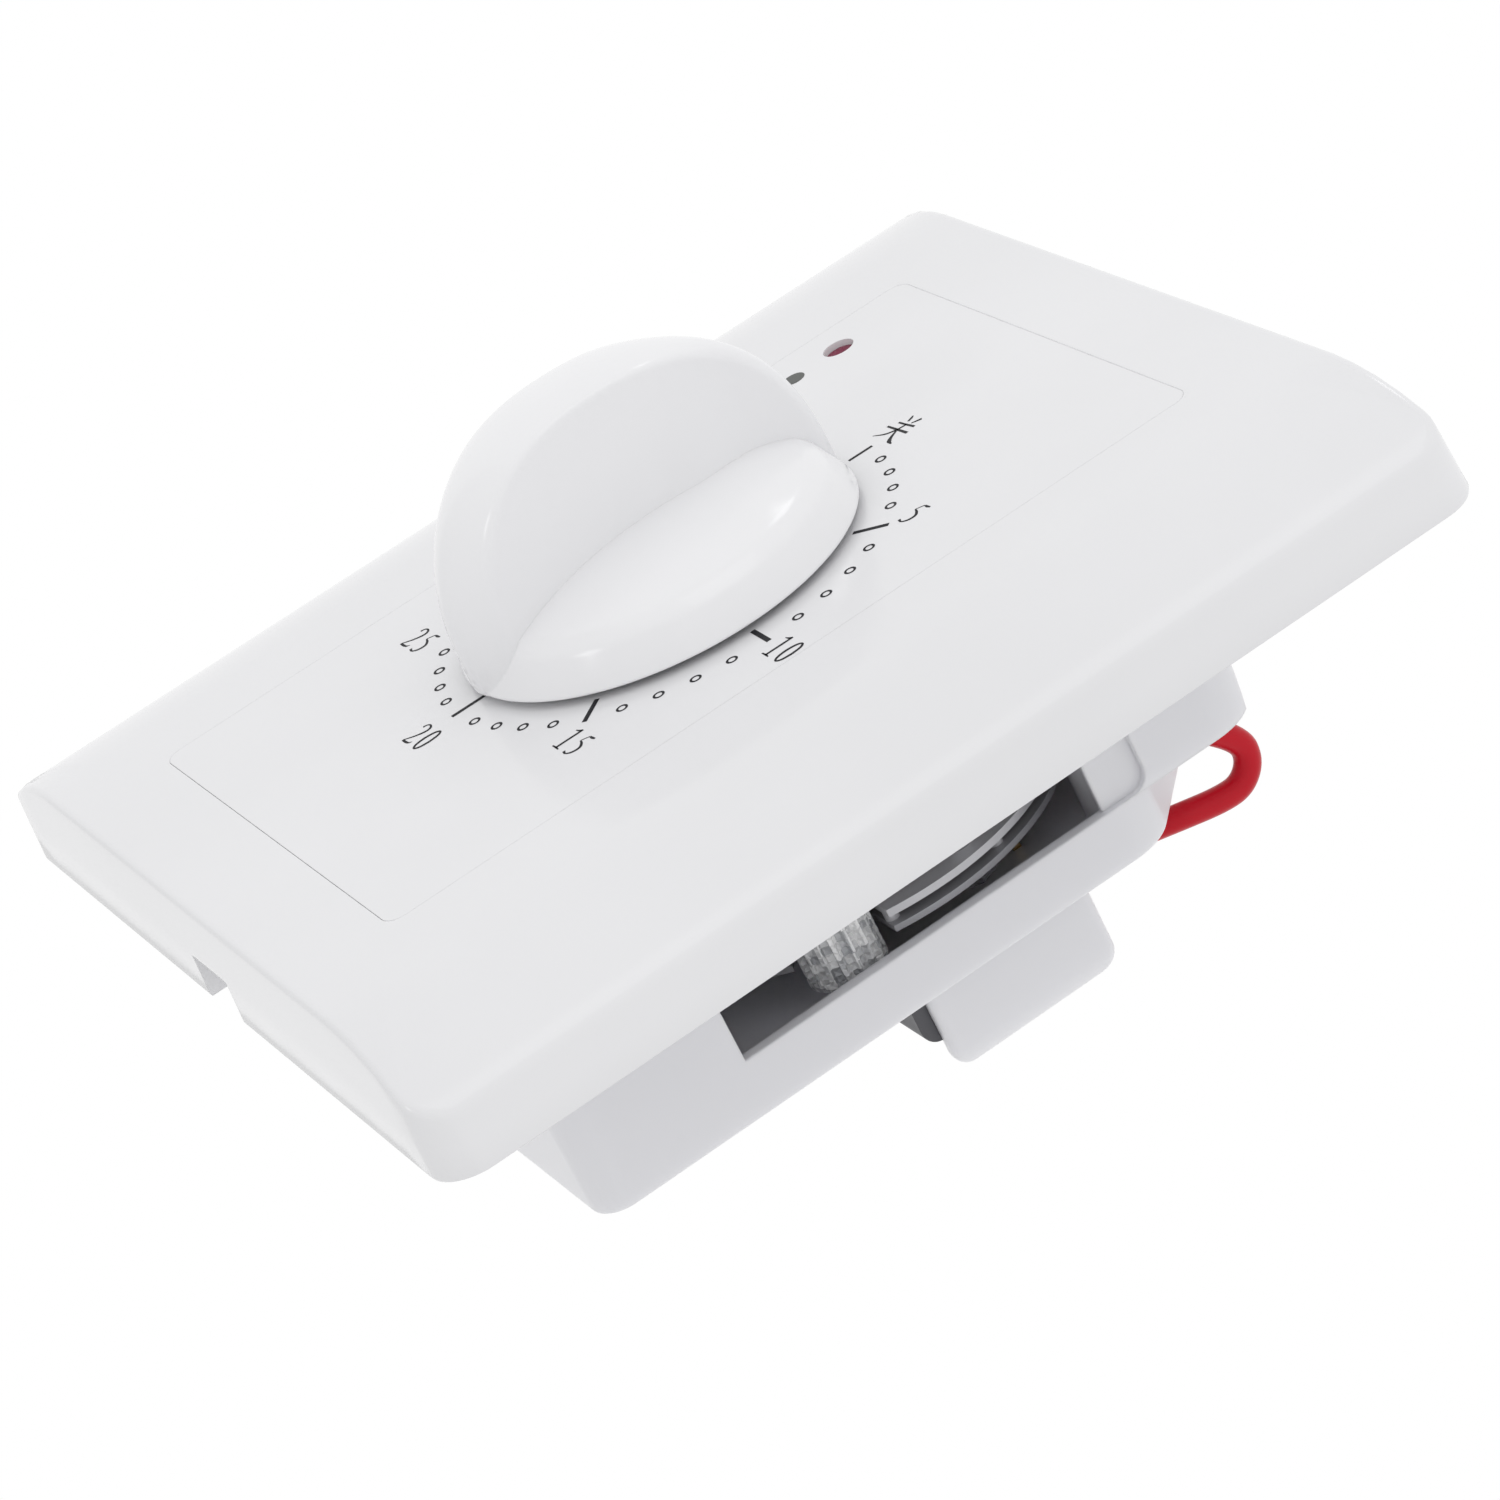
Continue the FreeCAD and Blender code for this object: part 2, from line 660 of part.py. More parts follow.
def window_cuts():
    """The movement window through the side wall and the shallow pocket round it."""
    half = HOUSING_HALF
    window = block(half - 2 * HOUSING_WALL, half + OVERCUT, WINDOW_FRONT, WINDOW_BACK, -WINDOW_HALF,
                   WINDOW_HALF)
    pocket = block(half - POCKET_DEPTH, half + OVERCUT, WINDOW_FRONT, WINDOW_BACK, -WINDOW_HALF,
                   WINDOW_HALF + POCKET_REACH)
    ends = [edge for edge in edges_along(pocket, V(1, 0, 0)) if edge.Vertexes[0].Z > WINDOW_HALF]
    return window.fuse(pocket.makeFillet(POCKET_RADIUS, ends))


def blade_slot(y0, y1):
    """Room for the fixed contact's tab where it passes through the back."""
    x, z = fixed_contact_place()
    half = BLADE_HALF + BLADE_GAP
    return block(x - half, x + half, y0, y1, z - BLADE_GAP, z + BLADE_DEPTH + BLADE_GAP)


def make_housing():
    """Housing: a shallow and a deep part on one flange, open toward the plate."""
    shallow = draw_in_ledge(housing_outline(0.0, FLANGE_FRONT, LEDGE_DEPTH), 0.0)
    deep = soften_back(deep_outline(0.0, FLANGE_FRONT, HOUSING_DEPTH), HOUSING_DEPTH)
    flange = rounded(HOUSING_HALF + FLANGE_REACH, -HOUSING_BOTTOM - FLANGE_END, HOUSING_TOP + FLANGE_END,
                     LOWER_RADIUS, FLANGE_FRONT, -BASE_DEPTH)
    body = fuse(shallow, deep, flange)
    hollow = housing_outline(-HOUSING_WALL, FLANGE_FRONT - OVERCUT, LEDGE_FLOOR)
    body = body.cut(draw_in_ledge(hollow, HOUSING_WALL))
    body = body.cut(deep_outline(-HOUSING_WALL, FLANGE_FRONT - OVERCUT, FLOOR))
    body = body.cut(window_cuts())
    socket = rod(LAMP_RADIUS + HOUSING_WALL, LAMP_SOCKET, LEDGE_FLOOR, LAMP_X, LAMP_Z)
    body = body.fuse(socket.common(housing_outline(0.0, FLANGE_FRONT, LEDGE_FLOOR)))
    body = bore(body, LAMP_RADIUS + RUNNING_GAP, LAMP_SOCKET, LAMP_END - OVERCUT, LAMP_X, LAMP_Z)
    for x, z in boss_places():
        body = body.fuse(rod(BOSS_RADIUS, MOVE_BACK, FLOOR, x, z))
        body = bore(body, SCREW_RADIUS, MOVE_BACK, MOVE_BACK + SCREW_REACH, x, z)
    for side, end in four_corners():
        body = bore(body, SCREW_RADIUS + SCREW_GAP, FLANGE_FRONT, -BASE_DEPTH, *flange_screw(side, end))
    lead_x, _, lead_z = LEAD_POINTS[-1]
    body = bore(body, LEAD_RADIUS + LEAD_HOLE_GAP, LEDGE_FLOOR, LEDGE_DEPTH, lead_x, lead_z)
    body = body.cut(rod(PIVOT_RADIUS + RUNNING_GAP, FLOOR - OVERCUT, FLOOR + STAFF_PIVOT + STAFF_SPARE,
                        *DRUM_CENTRE))
    return body.cut(blade_slot(FLOOR - OVERCUT, HOUSING_DEPTH + OVERCUT)).removeSplitter()


def train_places():
    """Arbor centres, from the tooth counts and the balance's place."""
    main = (0.0, 0.0)
    escape = meet(main, TRAIN_CIRCLE, DRUM_CENTRE, PALLET_REACH)
    third = meet(main, TRAIN_CIRCLE, escape, (THIRD_TEETH + PINION_TEETH) * TRAIN_MODULE / 2)
    great_reach = (GREAT_TEETH + PINION_TEETH) * GREAT_MODULE / 2
    second = meet(main, great_reach, third, (SECOND_TEETH + PINION_TEETH) * TRAIN_MODULE / 2)
    return {"main": main, "second": second, "third": third, "escape": escape, "drum": DRUM_CENTRE}


PLACES = train_places()


def make_wheel(teeth, module, start, depth, centre, toward, hub, rim, seat):
    """Spoked gear wheel with a tooth on the line toward the next arbor."""
    wheel = gear(teeth, module, start, start + depth, centre, bearing(centre, toward))
    wheel = spoked(wheel, centre, hub, teeth * module / 2 - rim, start, start + depth)
    return bore(wheel, seat, start, start + depth, *centre)


def make_pinion_arbor(centre, before, module, layer):
    """Thin arbor with pivots in both plates and a pinion that meets the wheel before it."""
    half_pitch = 180.0 / PINION_TEETH
    pinion = gear(PINION_TEETH, module, layer - PINION_SPARE, layer + WHEEL_DEPTH + PINION_SPARE, centre,
                  bearing(centre, before) + half_pitch)
    shaft = rod(ARBOR_RADIUS, MOVE_BACK + END_PLAY, REAR_PLATE_START - END_PLAY, *centre)
    pivots = rod(PIVOT_RADIUS, MOVE_FRONT, REAR_PLATE_END, *centre)
    return fuse(shaft, pivots, pinion)


def make_escape_wheel(centre):
    outline = []
    for tooth in range(ESCAPE_TEETH):
        start = tooth * 360.0 / ESCAPE_TEETH
        foot, lead, land, heel = (start + turn for turn in ESCAPE_TURNS)
        outline.append(polar(centre, ESCAPE_RADIUS - ESCAPE_TOOTH, foot))
        outline.append(polar(centre, ESCAPE_RADIUS, lead))
        outline.append(polar(centre, ESCAPE_RADIUS, land))
        outline.append(polar(centre, ESCAPE_RADIUS - ESCAPE_TOOTH, heel))
    wheel = slab(outline, ESCAPE_START, ESCAPE_START + ESCAPE_DEPTH)
    return bore(wheel, ARBOR_RADIUS, ESCAPE_START, ESCAPE_START + ESCAPE_DEPTH, *centre)


def make_train():
    """Wheels and arbors; each pair is in mesh at rest."""
    main = PLACES["main"]
    second = PLACES["second"]
    third = PLACES["third"]
    escape = PLACES["escape"]
    return {
        "great_wheel": make_wheel(GREAT_TEETH, GREAT_MODULE, GREAT_START, GREAT_DEPTH, main, second,
                                  GREAT_HUB, GREAT_RIM, GREAT_SEAT),
        "second_arbor": make_pinion_arbor(second, main, GREAT_MODULE, GREAT_START),
        "second_wheel": make_wheel(SECOND_TEETH, TRAIN_MODULE, SECOND_START, WHEEL_DEPTH, second, third,
                                   WHEEL_HUB, WHEEL_RIM, ARBOR_RADIUS),
        "third_arbor": make_pinion_arbor(third, second, TRAIN_MODULE, SECOND_START),
        "third_wheel": make_wheel(THIRD_TEETH, TRAIN_MODULE, THIRD_START, WHEEL_DEPTH, third, escape,
                                  WHEEL_HUB, WHEEL_RIM, ARBOR_RADIUS),
        "escape_arbor": make_pinion_arbor(escape, third, TRAIN_MODULE, THIRD_START),
        "escape_wheel": make_escape_wheel(escape),
    }


def make_drum():
    """Clear ribbed drum, capped at its back, on a boss round the staff."""
    step = 90.0 / DRUM_RIBS
    outline = []
    for rib in range(DRUM_RIBS):
        turn = rib * 360.0 / DRUM_RIBS
        outline.append(polar(DRUM_CENTRE, DRUM_RADIUS - DRUM_RIB_DEPTH, turn - step))
        outline.append(polar(DRUM_CENTRE, DRUM_RADIUS, turn - step / 2))
        outline.append(polar(DRUM_CENTRE, DRUM_RADIUS, turn + step / 2))
        outline.append(polar(DRUM_CENTRE, DRUM_RADIUS - DRUM_RIB_DEPTH, turn + step))
    drum = slab(outline, DRUM_START, DRUM_END - DRUM_CAP)
    drum = drum.fuse(rod(DRUM_RADIUS, DRUM_END - DRUM_CAP, DRUM_END, *DRUM_CENTRE))
    drum = drum.cut(rod(DRUM_RADIUS - DRUM_WALL, DRUM_START - OVERCUT, DRUM_END - DRUM_ROOF, *DRUM_CENTRE))
    drum = drum.fuse(rod(DRUM_BOSS, DRUM_START, DRUM_END - DRUM_CAP, *DRUM_CENTRE))
    return bore(drum, ARBOR_RADIUS, DRUM_START, DRUM_END, *DRUM_CENTRE).removeSplitter()


def make_pallet():
    """Two-armed pallet in the escape wheel's layer."""
    y0 = ESCAPE_START - PALLET_SPARE
    y1 = ESCAPE_START + ESCAPE_DEPTH + PALLET_SPARE
    aim = bearing(DRUM_CENTRE, PLACES["escape"])
    reach = PALLET_REACH - ESCAPE_RADIUS - PALLET_GAP
    pallet = rod(PALLET_HUB, y0, y1, *DRUM_CENTRE)
    for side in (-1, 1):
        arm = aim + side * PALLET_SPREAD
        pallet = pallet.fuse(slab([
            polar(DRUM_CENTRE, PALLET_ROOT, arm - PALLET_ROOT_TURN),
            polar(DRUM_CENTRE, reach, arm - PALLET_TIP_TURN),
            polar(DRUM_CENTRE, reach, arm + PALLET_TIP_TURN),
            polar(DRUM_CENTRE, PALLET_ROOT, arm + PALLET_ROOT_TURN),
        ], y0, y1))
    return bore(pallet, ARBOR_RADIUS, y0, y1, *DRUM_CENTRE).removeSplitter()


def make_balance():
    """Staff with its pallet and drum."""
    staff = fuse(rod(ARBOR_RADIUS, MOVE_BACK + END_PLAY, FLOOR - SEAT_GAP, *DRUM_CENTRE),
                 rod(PIVOT_RADIUS, MOVE_FRONT, FLOOR + STAFF_PIVOT, *DRUM_CENTRE))
    return {"balance_staff": staff, "balance_drum": make_drum(), "pallet": make_pallet()}


def disc(y0, y1):
    """Round plate with an open notch that clears the drum."""
    plate = rod(DISC_RADIUS, y0, y1, *DISC_CENTRE)
    radius = DRUM_RADIUS + DRUM_NOTCH_GAP
    drum_x, drum_z = DRUM_CENTRE
    plate = bore(plate, radius, y0, y1, *DRUM_CENTRE)
    return plate.cut(block(drum_x, drum_x + 2 * radius, y0 - OVERCUT, y1 + OVERCUT, drum_z - radius,
                           drum_z + radius))


def drill_pivots(plate, y0, y1, names):
    for name in names:
        plate = bore(plate, PIVOT_RADIUS + RUNNING_GAP, y0, y1, *PLACES[name])
    return plate


def make_front_plate():
    half = INNER_HALF - FRONT_PLATE_MARGIN
    plate = rounded(half, BOSS_BOTTOM_Z - BOSS_RADIUS, BOSS_TOP_Z + BOSS_RADIUS, BOSS_RADIUS, MOVE_FRONT,
                    MOVE_BACK)
    plate = plate.fuse(rod(DRUM_EAR, MOVE_FRONT, MOVE_BACK, *DRUM_CENTRE))
    plate = bore(plate, FRONT_PIVOT + RUNNING_GAP, MOVE_FRONT, MOVE_BACK)
    plate = drill_pivots(plate, MOVE_FRONT, MOVE_BACK, ("second", "third", "escape", "drum"))
    for x, z in boss_places():
        plate = bore(plate, SCREW_RADIUS, MOVE_FRONT, MOVE_BACK, x, z)
    return plate.removeSplitter()


def make_plates():
    """The movement's three plates with their pillars, nuts and spacers."""
    rear = disc(REAR_PLATE_START, REAR_PLATE_END)
    rear = drill_pivots(rear, REAR_PLATE_START, REAR_PLATE_END, ("second", "third", "escape"))
    rear = bore(rear, REAR_SEAT + RUNNING_GAP, REAR_PLATE_START, REAR_PLATE_END)
    contact = disc(CONTACT_PLATE_START, CONTACT_PLATE_END)
    contact = bore(contact, REAR_SEAT + CONTACT_HOLE_GAP, CONTACT_PLATE_START, CONTACT_PLATE_END)
    nut_end = CONTACT_PLATE_END + NUT_DEPTH
    nut_corner = NUT_FLATS / 2 / math.cos(math.pi / NUT_SIDES)
    pillars = []
    nuts = []
    for turn in PILLAR_TURNS:
        place = polar(DISC_CENTRE, DISC_RADIUS - PILLAR_INSET, turn)
        rear = bore(rear, TENON_RADIUS, REAR_PLATE_START, REAR_PLATE_END, *place)
        contact = bore(contact, TENON_RADIUS, CONTACT_PLATE_START, CONTACT_PLATE_END, *place)
        shaft = rod(PILLAR_RADIUS, MOVE_BACK, REAR_PLATE_START, *place)
        pillars.append(fuse(shaft, rod(TENON_RADIUS, REAR_PLATE_START, nut_end, *place)))
        flats = [polar(place, nut_corner, k * 360.0 / NUT_SIDES) for k in range(NUT_SIDES)]
        nut = slab(flats, CONTACT_PLATE_END, nut_end)
        nuts.append(bore(nut, TENON_RADIUS, CONTACT_PLATE_END, nut_end, *place))
    spacers = []
    for turn in SPACER_TURNS:
        place = polar(DISC_CENTRE, DISC_RADIUS - SPACER_INSET, turn)
        spacers.append(rod(SPACER_RADIUS, REAR_PLATE_END, CONTACT_PLATE_START, *place))
    return {
        "movement_front_plate": make_front_plate(),
        "movement_rear_plate": rear,
        "contact_plate": contact,
        "plate_pillars": Part.makeCompound(pillars),
        "pillar_nuts": Part.makeCompound(nuts),
        "plate_spacers": Part.makeCompound(spacers),
    }


def knob_y(height):
    return FACE - height


def revolve(edges):
    """Turn a closed profile about the knob's axis."""
    return Part.Face(Part.Wire(edges)).revolve(V(0, 0, 0), V(0, 1, 0), 360)


def dome_height(radius):
    """Height of the knob's domed disc at a radius."""
    return KNOB_DOME - DOME_FALL * (radius / KNOB_SHOULDER)**DOME_POWER


def grip_height(reach):
    """Height of the grip's crown at a distance from the knob's axis."""
    return GRIP_FOOT + (GRIP_HEIGHT - GRIP_FOOT) * (1 - (reach / KNOB_RIM)**GRIP_POWER)**(1 / GRIP_POWER)


def grip_half(z):
    """Half of the grip's width: nearly even, then narrowing to the pointer's nose."""
    if z > TAPER_START:
        half = max(GRIP_HALF - TAPER_RATE * (z - TAPER_START)**TAPER_POWER, NOSE_HALF)
    else:
        half = GRIP_HALF + (GRIP_END_HALF - GRIP_HALF) * (TAPER_START - z) / (TAPER_START + KNOB_RIM)
    corner = min(GRIP_CORNER, half / 2)
    into_corner = max(abs(z) - KNOB_RIM + corner, 0.0) / corner
    return half - corner * (1 - math.sqrt(1 - into_corner**2))


def grip_section(z):
    """Upright section of the grip: flat sides and a crown with rounded edges."""
    half = grip_half(z)
    top = grip_height(abs(z))
    edge = min(GRIP_EDGE, half / 2, (top - KNOB_LIFT) / 2)
    near = half - edge
    bend = edge * (1 - math.sqrt(0.5))

    def at(x, h):
        return V(x, knob_y(h), z)

    return Part.Wire([
        Part.makeLine(at(-half, KNOB_LIFT), at(half, KNOB_LIFT)),
        Part.makeLine(at(half, KNOB_LIFT), at(half, top - edge)),
        Part.Arc(at(half, top - edge), at(half - bend, top - bend), at(near, top)).toShape(),
        Part.makeLine(at(near, top), at(-near, top)),
        Part.Arc(at(-near, top), at(bend - half, top - bend), at(-half, top - edge)).toShape(),
        Part.makeLine(at(-half, top - edge), at(-half, KNOB_LIFT)),
    ])


def make_grip():
    """Grip across the knob, lofted through its sections from one end to the other."""
    reaches = [KNOB_RIM * share for share in GRIP_STATIONS]
    places = [-reach for reach in reaches] + [0.0] + reaches[::-1]
    grip = Part.makeLoft([grip_section(z) for z in places], True, True)
    return grip.common(rod(KNOB_RIM, knob_y(GRIP_HEIGHT + OVERCUT), knob_y(KNOB_LIFT)))


def make_knob():
    """Domed disc with the grip across it, hollow below, on a hub bored for the arbor."""
    def at(r, h):
        return V(r, knob_y(h), 0)

    mid_in = DOME_BREAK / 2
    mid_out = (DOME_BREAK + KNOB_SHOULDER) / 2
    brow = at(DOME_BREAK, dome_height(DOME_BREAK))
    shoulder = at(KNOB_SHOULDER, KNOB_SHOULDER_HEIGHT)
    base = revolve([
        Part.makeLine(at(0, KNOB_LIFT), at(KNOB_RIM, KNOB_LIFT)),
        Part.makeLine(at(KNOB_RIM, KNOB_LIFT), shoulder),
        Part.Arc(shoulder, at(mid_out, dome_height(mid_out)), brow).toShape(),
        Part.Arc(brow, at(mid_in, dome_height(mid_in)), at(0, KNOB_DOME)).toShape(),
        Part.makeLine(at(0, KNOB_DOME), at(0, KNOB_LIFT)),
    ])
    outer = KNOB_RIM - KNOB_WALL
    inner = HUB_RADIUS + HUB_GAP
    corners = [at(inner, KNOB_LIFT - OVERCUT), at(outer, KNOB_LIFT - OVERCUT),
               at(outer - KNOB_WALL, KNOB_SHOULDER_HEIGHT - KNOB_LEDGE), at(inner, KNOB_DOME - KNOB_WALL)]
    hollow = revolve(Part.makePolygon(corners + corners[:1]).Edges)
    hub = rod(HUB_RADIUS, knob_y(KNOB_LIFT + HUB_DEPTH), knob_y(KNOB_LIFT))
    socket = ring(inner, HUB_RADIUS, knob_y(KNOB_LIFT + HUB_DEPTH), knob_y(KNOB_LIFT - OVERCUT))
    knob = fuse(base, make_grip()).cut(hollow).cut(socket).fuse(hub)
    tip = knob_y(SHAFT_HEIGHT + SHAFT_TIP_GAP)
    shaft_hole = shaft_form(SHAFT_RADIUS + RUNNING_GAP, SHAFT_FLAT + RUNNING_GAP, tip, FACE)
    return knob.cut(shaft_hole).removeSplitter()


def make_hub_ring():
    """Spring ring that holds the knob's hub on the shaft."""
    front = knob_y(KNOB_LIFT + HUB_RING_START + HUB_RING_DEPTH)
    return ring(HUB_RADIUS + HUB_RING, HUB_RADIUS, front, knob_y(KNOB_LIFT + HUB_RING_START))


def shaft_form(radius, flat, y0, y1):
    """Round shaft with a flat on its +X side."""
    far = radius + OVERCUT
    return rod(radius, y0, y1).cut(block(flat, far, y0 - OVERCUT, y1 + OVERCUT, -far, far))


def make_arbor():
    """Main arbor, stepped from the knob's flat to the cam's seat."""
    flat_end = FACE + SHAFT_FLAT_FOOT
    clutch_start = GREAT_START - CLUTCH_DEPTH
    return fuse(
        shaft_form(SHAFT_RADIUS, SHAFT_FLAT, knob_y(SHAFT_HEIGHT), flat_end),
        rod(SHAFT_RADIUS, flat_end, MOVE_FRONT - END_PLAY),
        rod(FRONT_PIVOT, MOVE_FRONT - OVERCUT, MOVE_BACK + OVERCUT),
        rod(HUB_SHAFT, MOVE_BACK + END_PLAY, clutch_start),
        rod(GREAT_SEAT, clutch_start, REAR_PLATE_START - END_PLAY),
        rod(REAR_SEAT, REAR_PLATE_START - OVERCUT, CAM_START + CAM_DEPTH + ARBOR_TAIL))


def make_clutch():
    """Three-armed friction washer between the arbor's shoulder and the great wheel."""
    start = GREAT_START - CLUTCH_DEPTH
    centre = PLACES["main"]
    washer = rod(HUB_SHAFT, start, GREAT_START)
    for arm in range(CLUTCH_ARMS):
        turn = arm * 360.0 / CLUTCH_ARMS
        outline = [centre, polar(centre, CLUTCH_REACH, turn - CLUTCH_TURN),
                   polar(centre, CLUTCH_REACH, turn + CLUTCH_TURN)]
        washer = washer.fuse(slab(outline, start, GREAT_START))
    return bore(washer, GREAT_SEAT, start, GREAT_START).removeSplitter()


def spring_post_place():
    """Just past the spiral's outer end, where the strip is turned round the post."""
    reach = SPRING_OUTER + SPRING_STRIP + SPRING_POST_RADIUS + SPRING_STRIP / 2
    return polar(PLACES["main"], reach, SPRING_END_TURN)


def make_mainspring():
    """Spiral strip with an eye at its outer end."""
    centre = PLACES["main"]
    steps = SPRING_TURNS * SPRING_STEPS
    inner = []
    outer = []
    for k in range(steps + 1):
        turn = SPRING_END_TURN - (steps - k) * 360.0 / SPRING_STEPS
        radius = SPRING_INNER + (SPRING_OUTER - SPRING_INNER) * k / steps
        inner.append(polar(centre, radius, turn))
        outer.append(polar(centre, radius + SPRING_STRIP, turn))
    end = SPRING_START + SPRING_HEIGHT
    strip = slab(outer + inner[::-1], SPRING_START, end)
    eye_inner = SPRING_POST_RADIUS + RUNNING_GAP
    return fuse(strip, ring(eye_inner + SPRING_STRIP, eye_inner, SPRING_START, end, *spring_post_place()))


def make_spring_post():
    end = SPRING_START + SPRING_HEIGHT + SPRING_POST_HEAD
    return rod(SPRING_POST_RADIUS, MOVE_BACK, end, *spring_post_place())


def make_cam():
    """Snail cam: it lifts the contact lever as the dial is turned away from off."""
    centre = PLACES["main"]
    outline = []
    for k in range(CAM_STEPS + 1):
        behind = k * (360.0 - CAM_DROP_TURN) / CAM_STEPS
        share = min(behind / (DIAL_RANGE + CAM_LEAD_TURN), 1.0)
        outline.append(polar(centre, CAM_LOW + (CAM_HIGH - CAM_LOW) * share, 90.0 - CAM_LEAD_TURN + behind))
    return bore(slab(outline, CAM_START, CAM_START + CAM_DEPTH), REAR_SEAT, CAM_START, CAM_START + CAM_DEPTH)


def lever_tip():
    return (LEVER_X + LEVER_REACH, LEVER_Z + LEVER_TIP_RISE)


def fixed_contact_place():
    """Middle and lower face of the fixed contact's blade."""
    tip_x, tip_z = lever_tip()
    lift = LEVER_REACH * math.sin(math.radians(LEVER_LIFT))
    return (tip_x, tip_z + LEVER_SEAT + MOVING_HEIGHT + lift + CONTACT_GAP + FIXED_HEIGHT)


def make_lever(y0, y1):
    """Contact lever with the nose that rides on the cam."""
    tip_x, tip_z = lever_tip()
    nose_z = CAM_LOW + CAM_GAP
    neck_z = nose_z + LEVER_NOSE_HEIGHT
    arm = slab([
        (LEVER_X, LEVER_Z - LEVER_HALF),
        (-LEVER_NOSE_ROOT, neck_z),
        (-LEVER_NOSE_TIP, nose_z),
        (LEVER_NOSE_TIP, nose_z),
        (LEVER_NOSE_ROOT, neck_z),
        (tip_x, tip_z - LEVER_TIP_BELOW),
        (tip_x, tip_z + LEVER_SEAT),
        (0, LEVER_Z + LEVER_HALF),
        (LEVER_X, LEVER_Z + LEVER_HALF),
    ], y0, y1)
    lever = arm.fuse(rod(LEVER_BOSS, y0, y1, LEVER_X, LEVER_Z))
    return bore(lever, LEVER_PIVOT + RUNNING_GAP, y0, y1, LEVER_X, LEVER_Z).removeSplitter()


def make_switch():
    """Contact lever on its pivot, and the pair of contacts that it closes."""
    tip_x, tip_z = lever_tip()
    blade_x, blade_z = fixed_contact_place()
    y0 = CAM_START + LEVER_SHIFT
    y1 = y0 + LEVER_DEPTH
    lever = make_lever(y0, y1)
    seat = V(tip_x - CONTACT_INSET, (y0 + y1) / 2, tip_z)
    moving = Part.makeCylinder(CONTACT_RADIUS, MOVING_HEIGHT + LEVER_SEAT, seat, V(0, 0, 1)).cut(lever)
    fixed_seat = V(seat.x, seat.y, blade_z - FIXED_HEIGHT)
    foot = block(blade_x - BLADE_HALF - BLADE_FOOT, blade_x + BLADE_HALF, y0, FLOOR - BLADE_BACK_GAP, blade_z,
                 blade_z + BLADE_DEPTH)
    tab = block(blade_x - BLADE_HALF, blade_x + BLADE_HALF, y0, HOUSING_DEPTH + BLADE_TAB, blade_z,
                blade_z + BLADE_DEPTH)
    return {
        "contact_lever": lever,
        "moving_contact": moving,
        "lever_pivot": rod(LEVER_PIVOT, CONTACT_PLATE_END, FLOOR, LEVER_X, LEVER_Z),
        "fixed_contact_blade": fuse(foot, tab),
        "fixed_contact": Part.makeCylinder(CONTACT_RADIUS, FIXED_HEIGHT, fixed_seat, V(0, 0, 1)),
    }


def make_terminal_cover():
    """Two cheeks on a floor behind the housing, with every outer edge rounded."""
    cover = block(-TERMINAL_HALF, TERMINAL_HALF, HOUSING_DEPTH, TERMINAL_END, TERMINAL_LOW, TERMINAL_HIGH)
    cover = cover.makeFillet(CHEEK_RADIUS, edges_along(cover, V(0, 1, 0)))
    rear = [edge for edge in edges_along(cover, V(1, 0, 0)) if edge.Vertexes[0].Y > TERMINAL_END - TOLERANCE]
    cover = cover.makeFillet(TERMINAL_RADIUS, rear)
    inner = TERMINAL_HALF - CHEEK
    channel = block(-inner, inner, BLOCK_START, TERMINAL_END + OVERCUT, TERMINAL_LOW - OVERCUT,
                    TERMINAL_HIGH + OVERCUT)
    return cover.cut(channel).cut(blade_slot(HOUSING_DEPTH - OVERCUT, BLOCK_START + OVERCUT))


def make_terminal(x, core):
    """Cut one terminal's wire entry and screw well in the block; give its clamp and screw too."""
    clamp_start = BLOCK_START + CLAMP_FOOT
    clamp_end = clamp_start + CLAMP_DEPTH
    clamp_low = BLOCK_LOW + CLAMP_INSET
    clamp_high = TERMINAL_HIGH - CLAMP_TOP_INSET
    screw_z = (clamp_low + clamp_high) / 2
    half = CLAMP_WIDTH / 2
    pocket = block(x - half, x + half, clamp_start, clamp_end, clamp_low, clamp_high)
    mouth = V(x, clamp_start + WIRE_LEVEL, BLOCK_LOW - OVERCUT)
    entry = Part.makeCylinder(WIRE_ENTRY, clamp_high - BLOCK_LOW, mouth, V(0, 0, 1))
    core = core.cut(pocket).cut(entry)
    core = core.cut(rod(TERMINAL_HEAD + TERMINAL_HEAD_GAP, clamp_end, BLOCK_END + OVERCUT, x, screw_z))
    clamp = bore(pocket.cut(entry), TERMINAL_SCREW, clamp_end, clamp_end, x, screw_z)
    head_start = clamp_end + TERMINAL_HEAD_GAP
    head_end = head_start + TERMINAL_HEAD_DEPTH
    body = fuse(rod(TERMINAL_SCREW, clamp_end - OVERCUT, head_start, x, screw_z),
                rod(TERMINAL_HEAD, head_start, head_end, x, screw_z))
    far = TERMINAL_HEAD + OVERCUT
    slot = block(x - far, x + far, head_end - SLOT_DEPTH, head_end + OVERCUT, screw_z - SLOT_WIDTH / 2,
                 screw_z + SLOT_WIDTH / 2)
    return core, clamp, body.cut(slot)


